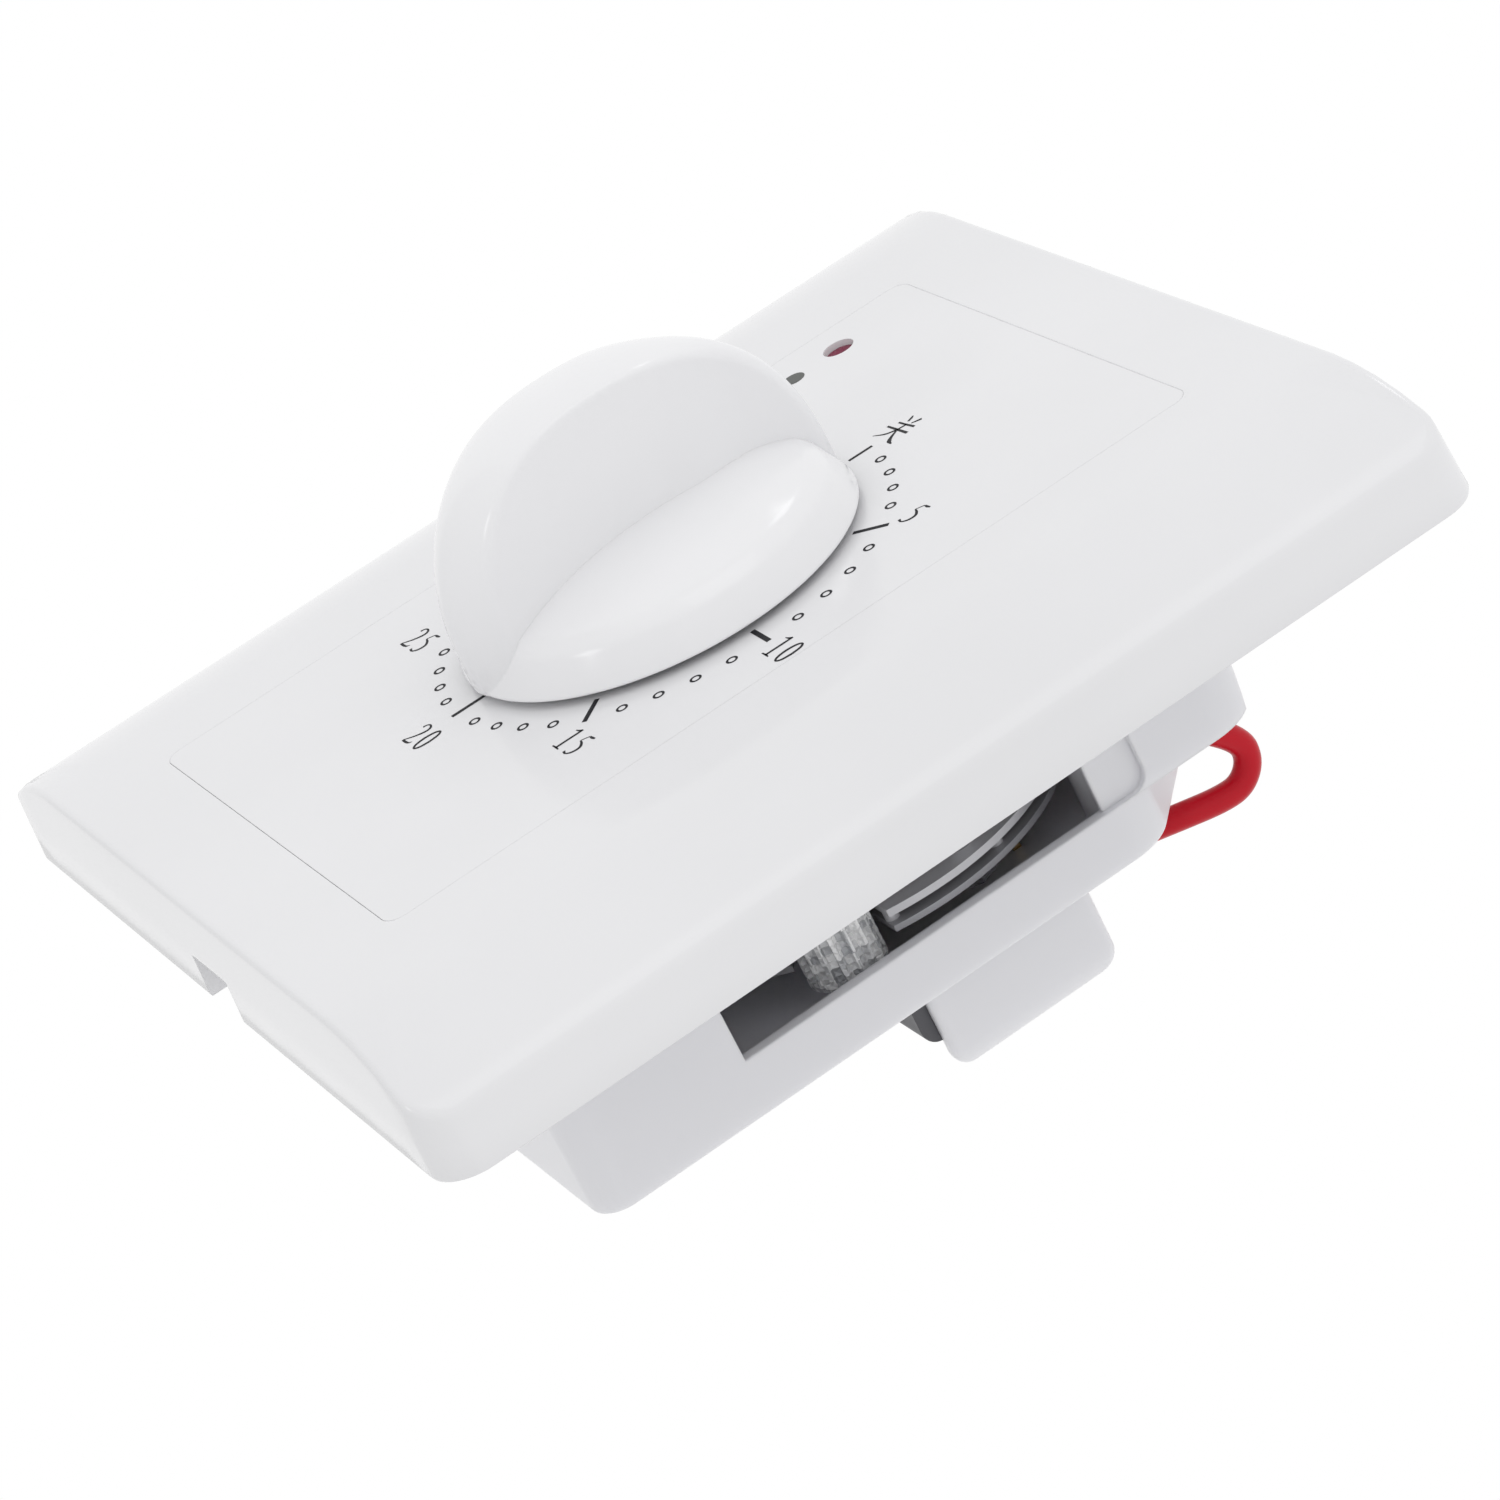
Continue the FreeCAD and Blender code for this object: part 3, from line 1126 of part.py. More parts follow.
def make_terminals():
    """Terminal cover, and the block between its cheeks with a clamp and a screw for each wire."""
    inner = TERMINAL_HALF - CHEEK - RUNNING_GAP
    core = block(-inner, inner, BLOCK_START, BLOCK_END, BLOCK_LOW, TERMINAL_HIGH)
    edge = [e for e in edges_along(core, V(1, 0, 0))
            if e.Vertexes[0].Y > BLOCK_END - TOLERANCE and e.Vertexes[0].Z < TERMINAL_LOW]
    core = core.makeFillet(BLOCK_RADIUS, edge).cut(blade_slot(HOUSING_DEPTH, BLOCK_START + OVERCUT))
    clamps = []
    screws = []
    for place in TERMINAL_PLACES:
        core, clamp, body = make_terminal(place * TERMINAL_PITCH, core)
        clamps.append(clamp)
        screws.append(body)
    return {
        "terminal_cover": make_terminal_cover(),
        "terminal_block": core,
        "terminal_clamps": Part.makeCompound(clamps),
        "terminal_screws": Part.makeCompound(screws),
    }


def make_screw(x, z, seat, tip):
    """Slotted screw along Y, its head in front of the seat."""
    head_front = seat - SCREW_HEAD_DEPTH
    far = SCREW_HEAD + OVERCUT
    body = fuse(rod(SCREW_RADIUS, seat, tip, x, z), rod(SCREW_HEAD, head_front, seat, x, z))
    return body.cut(block(x - far, x + far, head_front, head_front + SLOT_DEPTH, z - SLOT_WIDTH / 2,
                          z + SLOT_WIDTH / 2))


def make_screws():
    movement = [make_screw(x, z, MOVE_FRONT, MOVE_BACK + SCREW_REACH) for x, z in boss_places()]
    places = [flange_screw(side, end) for side, end in four_corners()]
    housing = [make_screw(x, z, FLANGE_FRONT, -SCREW_SHORT) for x, z in places]
    return {"movement_screws": Part.makeCompound(movement), "housing_screws": Part.makeCompound(housing)}


def make_lead():
    """Tube along the lead's route: straight runs joined by tangent arcs."""
    points = [V(*p) for p in LEAD_POINTS]
    edges = []
    start = points[0]
    for before, corner, after in zip(points, points[1:], points[2:]):
        back = (before - corner).normalize()
        ahead = (after - corner).normalize()
        turn = math.pi - back.getAngle(ahead)
        cut = LEAD_BEND_SHARE * min((before - corner).Length, (after - corner).Length)
        radius = cut / math.tan(turn / 2)
        inward = (back + ahead).normalize()
        middle = corner + inward * (radius / math.cos(turn / 2) - radius)
        end = corner + ahead * cut
        edges.append(Part.makeLine(start, corner + back * cut))
        edges.append(Part.Arc(corner + back * cut, middle, end).toShape())
        start = end
    edges.append(Part.makeLine(start, points[-1]))
    path = Part.Wire(edges)
    section = Part.Wire(Part.makeCircle(LEAD_RADIUS, points[0], points[1] - points[0]))
    print("lead length", round(path.Length, 2))
    return path.makePipeShell([section], True, False)


def make_lamp():
    """Glow lamp in its socket, and the resistor at the lead's inner end."""
    lamp = rod(LAMP_RADIUS, LIP_BACK + LENS_FOOT_DEPTH + LAMP_LENS_GAP, LAMP_END, LAMP_X, LAMP_Z)
    nose = [edge for edge in lamp.Edges if edge.BoundBox.YMax < 0]
    lamp = lamp.makeFillet(LAMP_NOSE, nose)
    lead_x, lead_y, lead_z = LEAD_POINTS[-1]
    y = lead_y - RESISTOR_RADIUS
    z = lead_z - RESISTOR_DROP
    wire_x = lead_x - RESISTOR_WIRE_LENGTH
    body = Part.makeCylinder(RESISTOR_RADIUS, RESISTOR_LENGTH, V(wire_x - RESISTOR_LENGTH, y, z), V(1, 0, 0))
    wire = Part.makeCylinder(RESISTOR_WIRE, RESISTOR_WIRE_LENGTH + RESISTOR_WIRE, V(wire_x, y, z), V(1, 0, 0))
    riser = rod(RESISTOR_WIRE, y - RESISTOR_WIRE, lead_y, lead_x, z)
    return {"lamp": lamp, "lamp_resistor": fuse(body, wire, riser)}


def build():
    parts = {
        "front_cover": make_cover(),
        "dial_panel": make_panel(),
        "indicator_lens": make_lens(),
        "base_plate": make_base(),
        "rear_housing": make_housing(),
        "knob": make_knob(),
        "knob_hub_ring": make_hub_ring(),
        "main_arbor": make_arbor(),
        "clutch_spring": make_clutch(),
        "mainspring": make_mainspring(),
        "spring_post": make_spring_post(),
        "switch_cam": make_cam(),
        "lamp_lead": make_lead(),
    }
    for group in (make_train, make_balance, make_plates, make_switch, make_terminals, make_screws, make_lamp):
        parts.update(group())
    return parts


os.makedirs("parts", exist_ok=True)
for node, shape in build().items():
    shape.exportStep("parts/" + node + ".step")
    print(node, "solids", len(shape.Solids), "valid", shape.isValid(), "volume", round(shape.Volume, 2))
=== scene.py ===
import functools
import math

import bmesh
import bpy
from mathutils import Matrix, Vector


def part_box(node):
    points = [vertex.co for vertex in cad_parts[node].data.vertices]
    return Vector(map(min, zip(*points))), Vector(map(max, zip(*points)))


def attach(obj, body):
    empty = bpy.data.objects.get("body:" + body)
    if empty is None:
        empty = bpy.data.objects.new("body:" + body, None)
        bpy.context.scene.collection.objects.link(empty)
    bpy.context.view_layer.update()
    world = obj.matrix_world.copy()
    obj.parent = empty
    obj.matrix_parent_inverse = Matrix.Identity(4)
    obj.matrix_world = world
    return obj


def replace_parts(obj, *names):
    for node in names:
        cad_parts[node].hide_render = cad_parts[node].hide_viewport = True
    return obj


bl_info = {
    "name": "Countdown timer switch",
    "version": (1, 0, 0),
    "blender": (4, 5, 0),
    "location": "3D View > Sidebar > Timer",
    "description": "Finishes a wall-plate countdown timer: cover, dial, knob, lead, clockwork and stage",
    "category": "Object",
}

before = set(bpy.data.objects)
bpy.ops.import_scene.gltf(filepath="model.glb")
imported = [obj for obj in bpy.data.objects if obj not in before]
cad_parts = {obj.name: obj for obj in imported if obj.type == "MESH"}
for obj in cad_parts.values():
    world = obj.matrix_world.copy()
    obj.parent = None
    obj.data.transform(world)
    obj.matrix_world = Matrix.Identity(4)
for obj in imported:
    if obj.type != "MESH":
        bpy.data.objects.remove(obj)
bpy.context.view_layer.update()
MM = 0.001

COVER_LOW, COVER_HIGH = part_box("front_cover")
KNOB_LOW, KNOB_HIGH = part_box("knob")
PANEL_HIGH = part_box("dial_panel")[1]
FACE = COVER_LOW.y
WHITE = (1.0, 1.0, 1.0, 1.0)


def number(name, description, value, **kind):
    return bpy.props.FloatProperty(name=name, description=description, default=value, **kind)


def triple(name, description, value, **kind):
    return bpy.props.FloatVectorProperty(name=name, description=description, default=value, size=3, **kind)


length = functools.partial(number, unit="LENGTH", precision=5)
angle = functools.partial(number, unit="ROTATION")
share = functools.partial(number, min=0, soft_max=1, subtype="FACTOR")
tint = functools.partial(triple, min=0, max=1, subtype="COLOR")
position = functools.partial(triple, unit="LENGTH", subtype="XYZ")
direction = functools.partial(triple, subtype="DIRECTION")


class PlateSettings(bpy.types.PropertyGroup):
    """Sizes of the moulded cover."""
    half_width: length("Half width", "Half of the plate's width at the wall", COVER_HIGH.x)
    half_height: length("Half height", "Half of the plate's height at the wall", COVER_HIGH.z)
    wall: length("Wall", "Thickness of the moulding", 2.0 * MM)
    flat_half: length("Flat half width", "Half width of the flat middle of the face", 29.3 * MM)
    side_height: length("Side height", "Height of the long sides over the wall", 4.6 * MM)
    side_draft: length("Side draft", "How far the long sides lean in", 0.9 * MM)
    end_draft: length("End draft", "How far the ends lean in", 0.7 * MM)
    corner: length("Corner radius", "Plan radius of the plate's corners", 3.5 * MM)
    rim: length("Rim fillet", "Rounding between the face and its walls", 0.6 * MM)
    foot_bevel: length("Foot bevel", "Height of the bevel at the walls' foot", 0.25 * MM)
    foot_lean: length("Foot lean", "Depth of the bevel at the walls' foot", 0.12 * MM)
    panel_lip: length("Panel lip", "How far the dial panel reaches behind the cover", 2.6 * MM)
    panel_gap: length("Panel gap", "Clearance round the raised part of the panel", 0.05 * MM)
    lead_in: length("Opening edge", "Rounding of the opening's two ends", 0.05 * MM)
    end_seam: length("End seam", "Gap beyond the dial panel's ends", 0.02 * MM)
    opening_corner: length("Opening corner", "Plan radius of the opening's corners", 1.4 * MM)
    notch_left: length("Notch left", "Left end of the pry notch", -2.5 * MM)
    notch_right: length("Notch right", "Right end of the pry notch", 4.5 * MM)
    notch_height: length("Notch height", "Height of the pry notch", 3.3 * MM)
    notch_cheek: length("Notch cheek", "Width of the strip inside each end of the notch", 0.6 * MM)


class DialSettings(bpy.types.PropertyGroup):
    """Sizes of the printed minute dial."""
    radius: length("Scale radius", "Radius of the ring of minute marks", 18.0 * MM)
    ink: length("Ink height", "How far the print stands off the panel", 0.012 * MM)
    tick_inner: length("Tick start", "Inner radius of the five-minute ticks", 15.6 * MM)
    tick_outer: length("Tick end", "Outer radius of the five-minute ticks", 18.5 * MM)
    tick_width: length("Tick width", "Width of a five-minute tick", 0.42 * MM)
    off_tick_inner: length("Off tick start", "Inner radius of the tick at the off mark", 16.4 * MM)
    off_tick_width: length("Off tick width", "Width of the tick at the off mark", 0.33 * MM)
    off_weight: number("Off sign weight", "How heavy the off sign's strokes are", 1.4)
    ring_radius: length("Ring radius", "Outer radius of a minute ring", 0.47 * MM)
    ring_line: length("Ring line", "Line width of a minute ring", 0.20 * MM)
    digit_pitch: length("Digit pitch", "Distance between the digits of a numeral", 1.76 * MM)
    skew: angle("Print skew", "How far the print is turned against the plate", math.radians(-1.05))
    shift_x: length("Print shift across", "Print off centre to the right", -0.09 * MM)
    shift_z: length("Print shift up", "Print off centre upward", 0.18 * MM)
    dot_x: length("Dot place across", "Grey dot's place right of the knob's axis", -18.2 * MM)
    dot_z: length("Dot place up", "Grey dot's place over the knob's axis", 21.4 * MM)
    dot_radius: length("Dot radius", "Radius of the grey dot", 0.9 * MM)


class KnobSettings(bpy.types.PropertyGroup):
    """Sizes of the turn knob, heights over the dial face."""
    lift: length("Lift", "Gap between the knob and the dial", FACE - KNOB_HIGH.y)
    rim: length("Rim radius", "Radius of the knob's foot", KNOB_HIGH.x)
    shoulder: length("Shoulder radius", "Radius where the rim's cone meets the dome", 14.4 * MM)
    shoulder_height: length("Shoulder height", "Height of the shoulder", 3.3 * MM)
    dome: length("Dome height", "Height of the dome at the middle", 6.95 * MM)
    dome_fall: length("Dome fall", "Fall of the dome to its shoulder", 3.2 * MM)
    dome_power: number("Dome power", "How late the dome falls away", 2.4)
    fillet: length("Fillet", "Rounding of the rim and the shoulder", 0.35 * MM)
    skirt: length("Skirt", "Width of the rim's flat foot", 1.3 * MM)
    hollow: length("Hollow radius", "Outer radius of the hollow underneath", 13.2 * MM)
    hollow_height: length("Hollow height", "Height of the hollow at its outer radius", 2.2 * MM)
    hub_foot: length("Hub root radius", "Radius where the hub meets the hollow", 6.2 * MM)
    hub_foot_height: length("Hub root height", "Height of the hollow at the hub", 3.4 * MM)
    hub: length("Hub radius", "Outer radius of the hub's end", 5.6 * MM)
    hub_recess: length("Hub recess", "How far the hub ends over the rim's foot", 0.3 * MM)
    bore: length("Bore radius", "Radius of the hub's bore", 3.1 * MM)
    bore_height: length("Bore height", "Height of the bore's closed end", 4.6 * MM)
    grip_height: length("Grip height", "Height of the grip's crown", FACE - KNOB_LOW.y)
    grip_foot: length("Grip foot", "Height where the grip starts to curve", 2.0 * MM)
    grip_power: number("Grip power", "How square the grip's outline is", 2.3)
    grip_half: length("Grip half width", "Half of the grip's width at its middle", 3.95 * MM)
    grip_end_half: length("Grip end half width", "Half of the grip's width at its lower end", 4.6 * MM)
    taper_start: length("Taper start", "Where the grip starts to narrow to its nose", 4.5 * MM)
    taper_rate: number("Taper rate", "How fast the grip narrows", 0.165)
    taper_power: number("Taper power", "How late the grip narrows", 1.45)
    nose_blend: length("Nose blend", "How softly the taper runs out into the nose", 1.1 * MM)
    nose_half: length("Nose half width", "Half of the nose's width", 1.0 * MM)
    grip_sink: length("Grip sink", "How deep the grip's foot lies in the disc", 0.9 * MM)
    crown_edge: length("Crown edge", "Rounding beside the crown", 0.45 * MM)
    crown_arch: length("Crown arch", "Fall of the crown to its edges", 0.55 * MM)
    end_arch: length("End arch", "Fall of the ends to their edges", 1.65 * MM)
    arch_power: number("Arch power", "How late the crown falls away", 2.2)


class FinishSettings(bpy.types.PropertyGroup):
    """Colours and gloss of the finishes."""
    gloss_white: tint("Gloss white", "Cover and dial panel", (0.80, 0.80, 0.815))
    # The knob's white is the cover's gloss white made lighter: painted light that brightens the knob
    knob_white: tint("Knob white", "Knob", (0.86, 0.86, 0.875))
    housing_white: tint("Housing white", "Housing and terminal cover", (0.74, 0.74, 0.765))
    dark_plastic: tint("Dark plastic", "Terminal block and cam", (0.085, 0.085, 0.095))
    ink: tint("Ink", "Dial print", (0.012, 0.012, 0.014))
    lens: tint("Lens", "Indicator lens", (0.34, 0.012, 0.075))
    lead: tint("Lead", "Insulation of the lamp lead", (0.55, 0.005, 0.017))
    brass: tint("Brass", "Wheels and contacts", (0.72, 0.53, 0.25))
    steel: tint("Steel", "Arbors and screws", (0.56, 0.56, 0.57))
    gloss: share("Gloss", "Roughness of the glossy white moulding", 0.14)


class StageSettings(bpy.types.PropertyGroup):
    """Camera, floor and light."""
    place: position("Camera place", "Where the camera stands", (0.364035, -0.170505, -0.099689))
    look: direction("Camera look", "Direction of view", (-0.8741, 0.4241, 0.2370))
    right: direction("Camera right", "Direction of the picture's right", (0.4196, 0.4133, 0.8082))
    lens: number("Lens", "Focal length in millimetres", 136.66)
    shift_x: number("Shift across", "Camera shift to the right", 0.00817)
    shift_y: number("Shift up", "Camera shift upward", 0.0046)
    floor: length("Floor", "Height of the floor", -0.6)
    ambient: share("Ambient", "Strength of the surrounding light", 0.945)
    key: number("Key", "Power of the softbox above, in watts", 0.13)
    side: number("Side", "Power of the softbox at the side, in watts", 0.13)
    front: number("Front", "Power of the softbox in front, in watts", 0.28)
    key_place: position("Key place", "Where the softbox above stands", (-0.25, -0.50, 0.42))
    side_place: position("Side place", "Where the softbox at the side stands", (0.12, -0.36, -0.49))
    front_place: position("Front place", "Where the softbox in front stands", (0.28, -0.61, 0.17))


# Mesh helpers

PIECE_MERGE = 0.0005 * MM
SOLID_MERGE = 0.0002 * MM
COVER_CREASE = 35.0
KNOB_CREASE = 24.0
NODE_CREASE = 28.0
SIDE_COLUMNS = 26
CORNER_COLUMNS = 10


def linked(name, data):
    """New object in the scene for a mesh, curve, lamp or camera."""
    obj = bpy.data.objects.new(name, data)
    bpy.context.scene.collection.objects.link(obj)
    return obj


def clean_mesh(name, verts, faces, merge):
    """Mesh of points and faces, with points closer than merge made one and all faces turned outward."""
    mesh = bpy.data.meshes.new(name)
    mesh.from_pydata([tuple(v) for v in verts], [], faces)
    mesh.validate()
    bm = bmesh.new()
    bm.from_mesh(mesh)
    bmesh.ops.remove_doubles(bm, verts=bm.verts, dist=merge)
    bmesh.ops.recalc_face_normals(bm, faces=bm.faces)
    bm.to_mesh(mesh)
    bm.free()
    return mesh


def shade_smooth(mesh, crease):
    """Smooth shading with sharp edges where the faces turn by more than the crease angle."""
    mesh.polygons.foreach_set("use_smooth", [True] * len(mesh.polygons))
    mesh.set_sharp_from_angle(angle=math.radians(crease))


def finish_piece(name, mesh, finish, body="root"):
    """Make a mesh a piece with its finish that rides on a body."""
    obj = linked(name, mesh)
    mesh.materials.append(finish)
    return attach(obj, body)


def skin(rings, closed=False):
    """Faces between rings of equal point counts; closed joins the last ring to the first."""
    count = len(rings[0])
    verts = [p for ring in rings for p in ring]
    faces = []
    for r in range(len(rings) if closed else len(rings) - 1):
        a, b = r * count, (r + 1) % len(rings) * count
        for i in range(count):
            j = (i + 1) % count
            faces.append((a + i, a + j, b + j, b + i))
    return verts, faces


def even(start, end, count):
    """Evenly spaced values from start on, without the end."""
    return [start + (end - start) * k / count for k in range(count)]


def circle(sides):
    """Places round a circle of radius one."""
    return [(math.cos(turn), math.sin(turn)) for turn in even(0.0, 2 * math.pi, sides)]


def plan_loop(half_x, half_z, radius, marks):
    """Points and outward directions round a rounded rectangle, anticlockwise seen from the room.

    marks are places along the lower side that each get a column of their own.
    """
    points = []
    inner_x, inner_z = half_x - radius, half_z - radius
    low = sorted(even(-inner_x, inner_x, SIDE_COLUMNS) + list(marks))
    rising = even(-inner_z, inner_z, SIDE_COLUMNS)
    for x in low:
        points.append((x, -half_z, 0.0, -1.0))
    sides = (
        ((inner_x, -inner_z), -90, [(half_x, z, 1.0, 0.0) for z in rising]),
        ((inner_x, inner_z), 0, [(-x, half_z, 0.0, 1.0) for x in even(-inner_x, inner_x, len(low))]),
        ((-inner_x, inner_z), 90, [(-half_x, -z, -1.0, 0.0) for z in rising]),
        ((-inner_x, -inner_z), 180, []),
    )
    for (cx, cz), start, side in sides:
        for k in range(CORNER_COLUMNS):
            turn = math.radians(start + 90.0 * k / CORNER_COLUMNS)
            nx, nz = math.cos(turn), math.sin(turn)
            points.append((cx + radius * nx, cz + radius * nz, nx, nz))
        points += side
    return points


def bezier(a, b, c, count):
    """Points from a to c of a curve that leaves toward b."""
    points = []
    for k in range(count + 1):
        t = k / count
        points.append(a * (1 - t) ** 2 + b * (2 * t * (1 - t)) + c * t**2)
    return points


def through(points, count):
    """Smooth line through given points."""
    ends = [points[0] * 2 - points[1]] + points + [points[-1] * 2 - points[-2]]
    line = []
    for k in range(1, len(ends) - 2):
        p0, p1, p2, p3 = ends[k - 1:k + 3]
        for step in range(count):
            t = step / count
            line.append(0.5 * (p1 * 2 + (p2 - p0) * t + (p0 * 2 - p1 * 5 + p2 * 4 - p3) * t**2
                               + (p1 * 3 - p0 - p2 * 3 + p3) * t**3))
    return line + [points[-1]]


# Shader helpers

COLOUR = "NodeSocketColor"
VALUE = "NodeSocketFloat"
VECTOR = "NodeSocketVector"
EFFECT_INPUTS = (("Colour", COLOUR), ("Shade", COLOUR), ("Smooth", VALUE), ("Rough", VALUE),
                 ("Scale", VALUE))
EFFECT_OUTPUTS = (("Colour", COLOUR), ("Roughness", VALUE), ("Height", VALUE))
NOISE_RANGE = (0.3, 0.7)
EDGE_SAMPLES = 6
STAIN_SHARE = 0.7
LINE_STRETCH = (1.0, 14.0, 1.0)
FACET_SCATTER = 0.35
GLOSS_SPREAD = 1.25

# Scale and detail of the noise behind the effects; the finest noise takes its scale from the finish
MOTTLE = (38.0, 4.0)
UNEVEN_GLOSS = (120.0, 5.0)
STAIN = (260.0, 5.0)
GRAIN_DETAIL = 3.0


def plug(tree, start, end):
    """Join an output to an input."""
    tree.links.new(start, end)


def add_node(tree, kind, inputs=(), **traits):
    """Outputs of a new shader node; each of its inputs takes a value or the socket to join to it."""
    node = tree.nodes.new("ShaderNode" + kind)
    for trait, value in traits.items():
        setattr(node, trait, value)
    for socket, value in dict(inputs).items():
        if isinstance(value, bpy.types.NodeSocket):
            plug(tree, value, node.inputs[socket])
        else:
            node.inputs[socket].default_value = value
    return node.outputs


def effect_group(name, more_inputs=(), more_outputs=()):
    """Empty shader effect with the sockets that all effects share, and its own."""
    group = bpy.data.node_groups.new(name, "ShaderNodeTree")
    for label, kind in EFFECT_INPUTS + more_inputs:
        group.interface.new_socket(name=label, in_out="INPUT", socket_type=kind)
    for label, kind in EFFECT_OUTPUTS + more_outputs:
        group.interface.new_socket(name=label, in_out="OUTPUT", socket_type=kind)
    return group, group.nodes.new("NodeGroupInput").outputs, group.nodes.new("NodeGroupOutput").inputs


def own_place(group):
    return add_node(group, "TexCoord")["Object"]


def noise(group, scale, detail, stretch=None):
    """Noise over the piece's own coordinates, optionally stretched."""
    place = own_place(group)
    if stretch:
        place = add_node(group, "Mapping", {"Vector": place, "Scale": stretch})["Vector"]
    return add_node(group, "TexNoise", {"Vector": place, "Scale": scale, "Detail": detail})["Fac"]


def ranged(group, value, low, high):
    """Map the noise's middle range to the range between two sockets or numbers."""
    start, end = NOISE_RANGE
    inputs = {"Value": value, "From Min": start, "From Max": end, "To Min": low, "To Max": high}
    return add_node(group, "MapRange", inputs, clamp=True)["Result"]


def tinted(group, inside, outside, factor):
    """Give the effect a colour between its colour and its shade."""
    inputs = {"Factor": factor, "A": inside["Colour"], "B": inside["Shade"]}
    plug(group, add_node(group, "Mix", inputs, data_type="RGBA")["Result"], outside["Colour"])


def glossed(group, inside, outside, factor):
    """Give the effect a roughness between its smooth and rough values."""
    plug(group, ranged(group, factor, inside["Smooth"], inside["Rough"]), outside["Roughness"])


@functools.cache
def moulded_effect():
    """Injection moulded plastic: faint mottle, uneven gloss, fine grain and softly rounded edges."""
    group, inside, outside = effect_group("Moulded surface", (("Edge", VALUE),), (("Edge normal", VECTOR),))
    edge = add_node(group, "Bevel", {"Radius": inside["Edge"]}, samples=EDGE_SAMPLES)
    plug(group, edge["Normal"], outside["Edge normal"])
    tinted(group, inside, outside, ranged(group, noise(group, *MOTTLE), 0.0, 1.0))
    glossed(group, inside, outside, noise(group, *UNEVEN_GLOSS))
    plug(group, noise(group, inside["Scale"], GRAIN_DETAIL), outside["Height"])
    return group


@functools.cache
def worked_metal_effect():
    """Turned or rolled metal: fine lines and a little stain."""
    group, inside, outside = effect_group("Worked metal")
    tinted(group, inside, outside, ranged(group, noise(group, *STAIN), 0.0, STAIN_SHARE))
    lines = noise(group, inside["Scale"], GRAIN_DETAIL, LINE_STRETCH)
    glossed(group, inside, outside, lines)
    plug(group, lines, outside["Height"])
    return group


@functools.cache
def facet_effect():
    """Clear plastic moulded in small facets; each facet's colour, a random share between colour and shade,
    is painted highlight and painted shade for the light the facets catch.
    """
    group, inside, outside = effect_group("Painted facet glints")
    inputs = {"Vector": own_place(group), "Scale": inside["Scale"], "Randomness": FACET_SCATTER}
    cells = add_node(group, "TexVoronoi", inputs, distance="CHEBYCHEV")
    tone = add_node(group, "SeparateColor", {"Color": cells["Color"]})
    # Cell tone sets each facet's colour: painted highlights and painted shade
    tinted(group, inside, outside, tone["Red"])
    glossed(group, inside, outside, tone["Green"])
    plug(group, cells["Distance"], outside["Height"])
    return group


def surface(name, effect, colour, shade, smooth, rough, scale, bump, depth=0.02 * MM, edge=0.0, **rest):
    """Material with an effect on its colour, roughness and relief; the rest are shader inputs."""
    finish = bpy.data.materials.new(name)
    finish.use_nodes = True
    tree = finish.node_tree
    shader = tree.nodes["Principled BSDF"].inputs
    values = {"Colour": (*colour, 1), "Shade": (*shade, 1), "Smooth": smooth, "Rough": rough}
    values["Scale"] = scale
    if edge:
        values["Edge"] = edge
    look = add_node(tree, "Group", values, node_tree=effect())
    relief = {"Strength": bump, "Distance": depth, "Height": look["Height"]}
    if edge:
        relief["Normal"] = look["Edge normal"]
    plug(tree, look["Colour"], shader["Base Color"])
    plug(tree, look["Roughness"], shader["Roughness"])
    plug(tree, add_node(tree, "Bump", relief)["Normal"], shader["Normal"])
    for socket, value in rest.items():
        shader[socket.replace("_", " ")].default_value = value
    return finish


def plastic(name, colour, smooth, rough, scale=900.0, bump=0.05, fade=0.97, edge=0.1 * MM, **rest):
    """Moulded or painted finish; fade is the shade's share of the colour."""
    shade = [c * fade for c in colour]
    return surface(name, moulded_effect, colour, shade, smooth, rough, scale, bump, edge=edge, **rest)


def metal(name, colour, smooth, rough, scale=300.0, bump=0.15, fade=0.72, metallic=1.0):
    """Metal finish; fade is the stain's share of the colour."""
    shade = [c * fade for c in colour]
    return surface(name, worked_metal_effect, colour, shade, smooth, rough, scale, bump, Metallic=metallic)


def gloss_moulding(name, colour, gloss, edge=0.1 * MM):
    """Glossy white moulding; gloss is its middle roughness."""
    return plastic(name, colour, smooth=gloss / GLOSS_SPREAD, rough=gloss * GLOSS_SPREAD, edge=edge)


def clear_moulding():
    # White colour and grey shade are painted light: bright and dark facets, and a drum lighter than the dim
    # window lights it
    return surface("Clear moulding with painted glints", facet_effect, colour=(1.0, 1.0, 1.0), shade=(0.42, 0.43, 0.45),
                   smooth=0.05, rough=0.3, scale=1500.0, bump=1.0, depth=0.5 * MM,
                   Transmission_Weight=0.12, IOR=1.49)


def housing_moulding(colour):
    return plastic("White housing moulding", colour, smooth=0.29, rough=0.31, scale=1500.0, bump=0.06,
                   fade=0.997, edge=0.35 * MM, Subsurface_Weight=0.4, Subsurface_Scale=1.5 * MM,
                   Subsurface_Radius=(1.0, 1.0, 1.0))


def rolled_sheet(name, colour):
    return metal(name, colour, smooth=0.4, rough=0.55, scale=180.0, bump=0.1, fade=0.9, metallic=0.35)


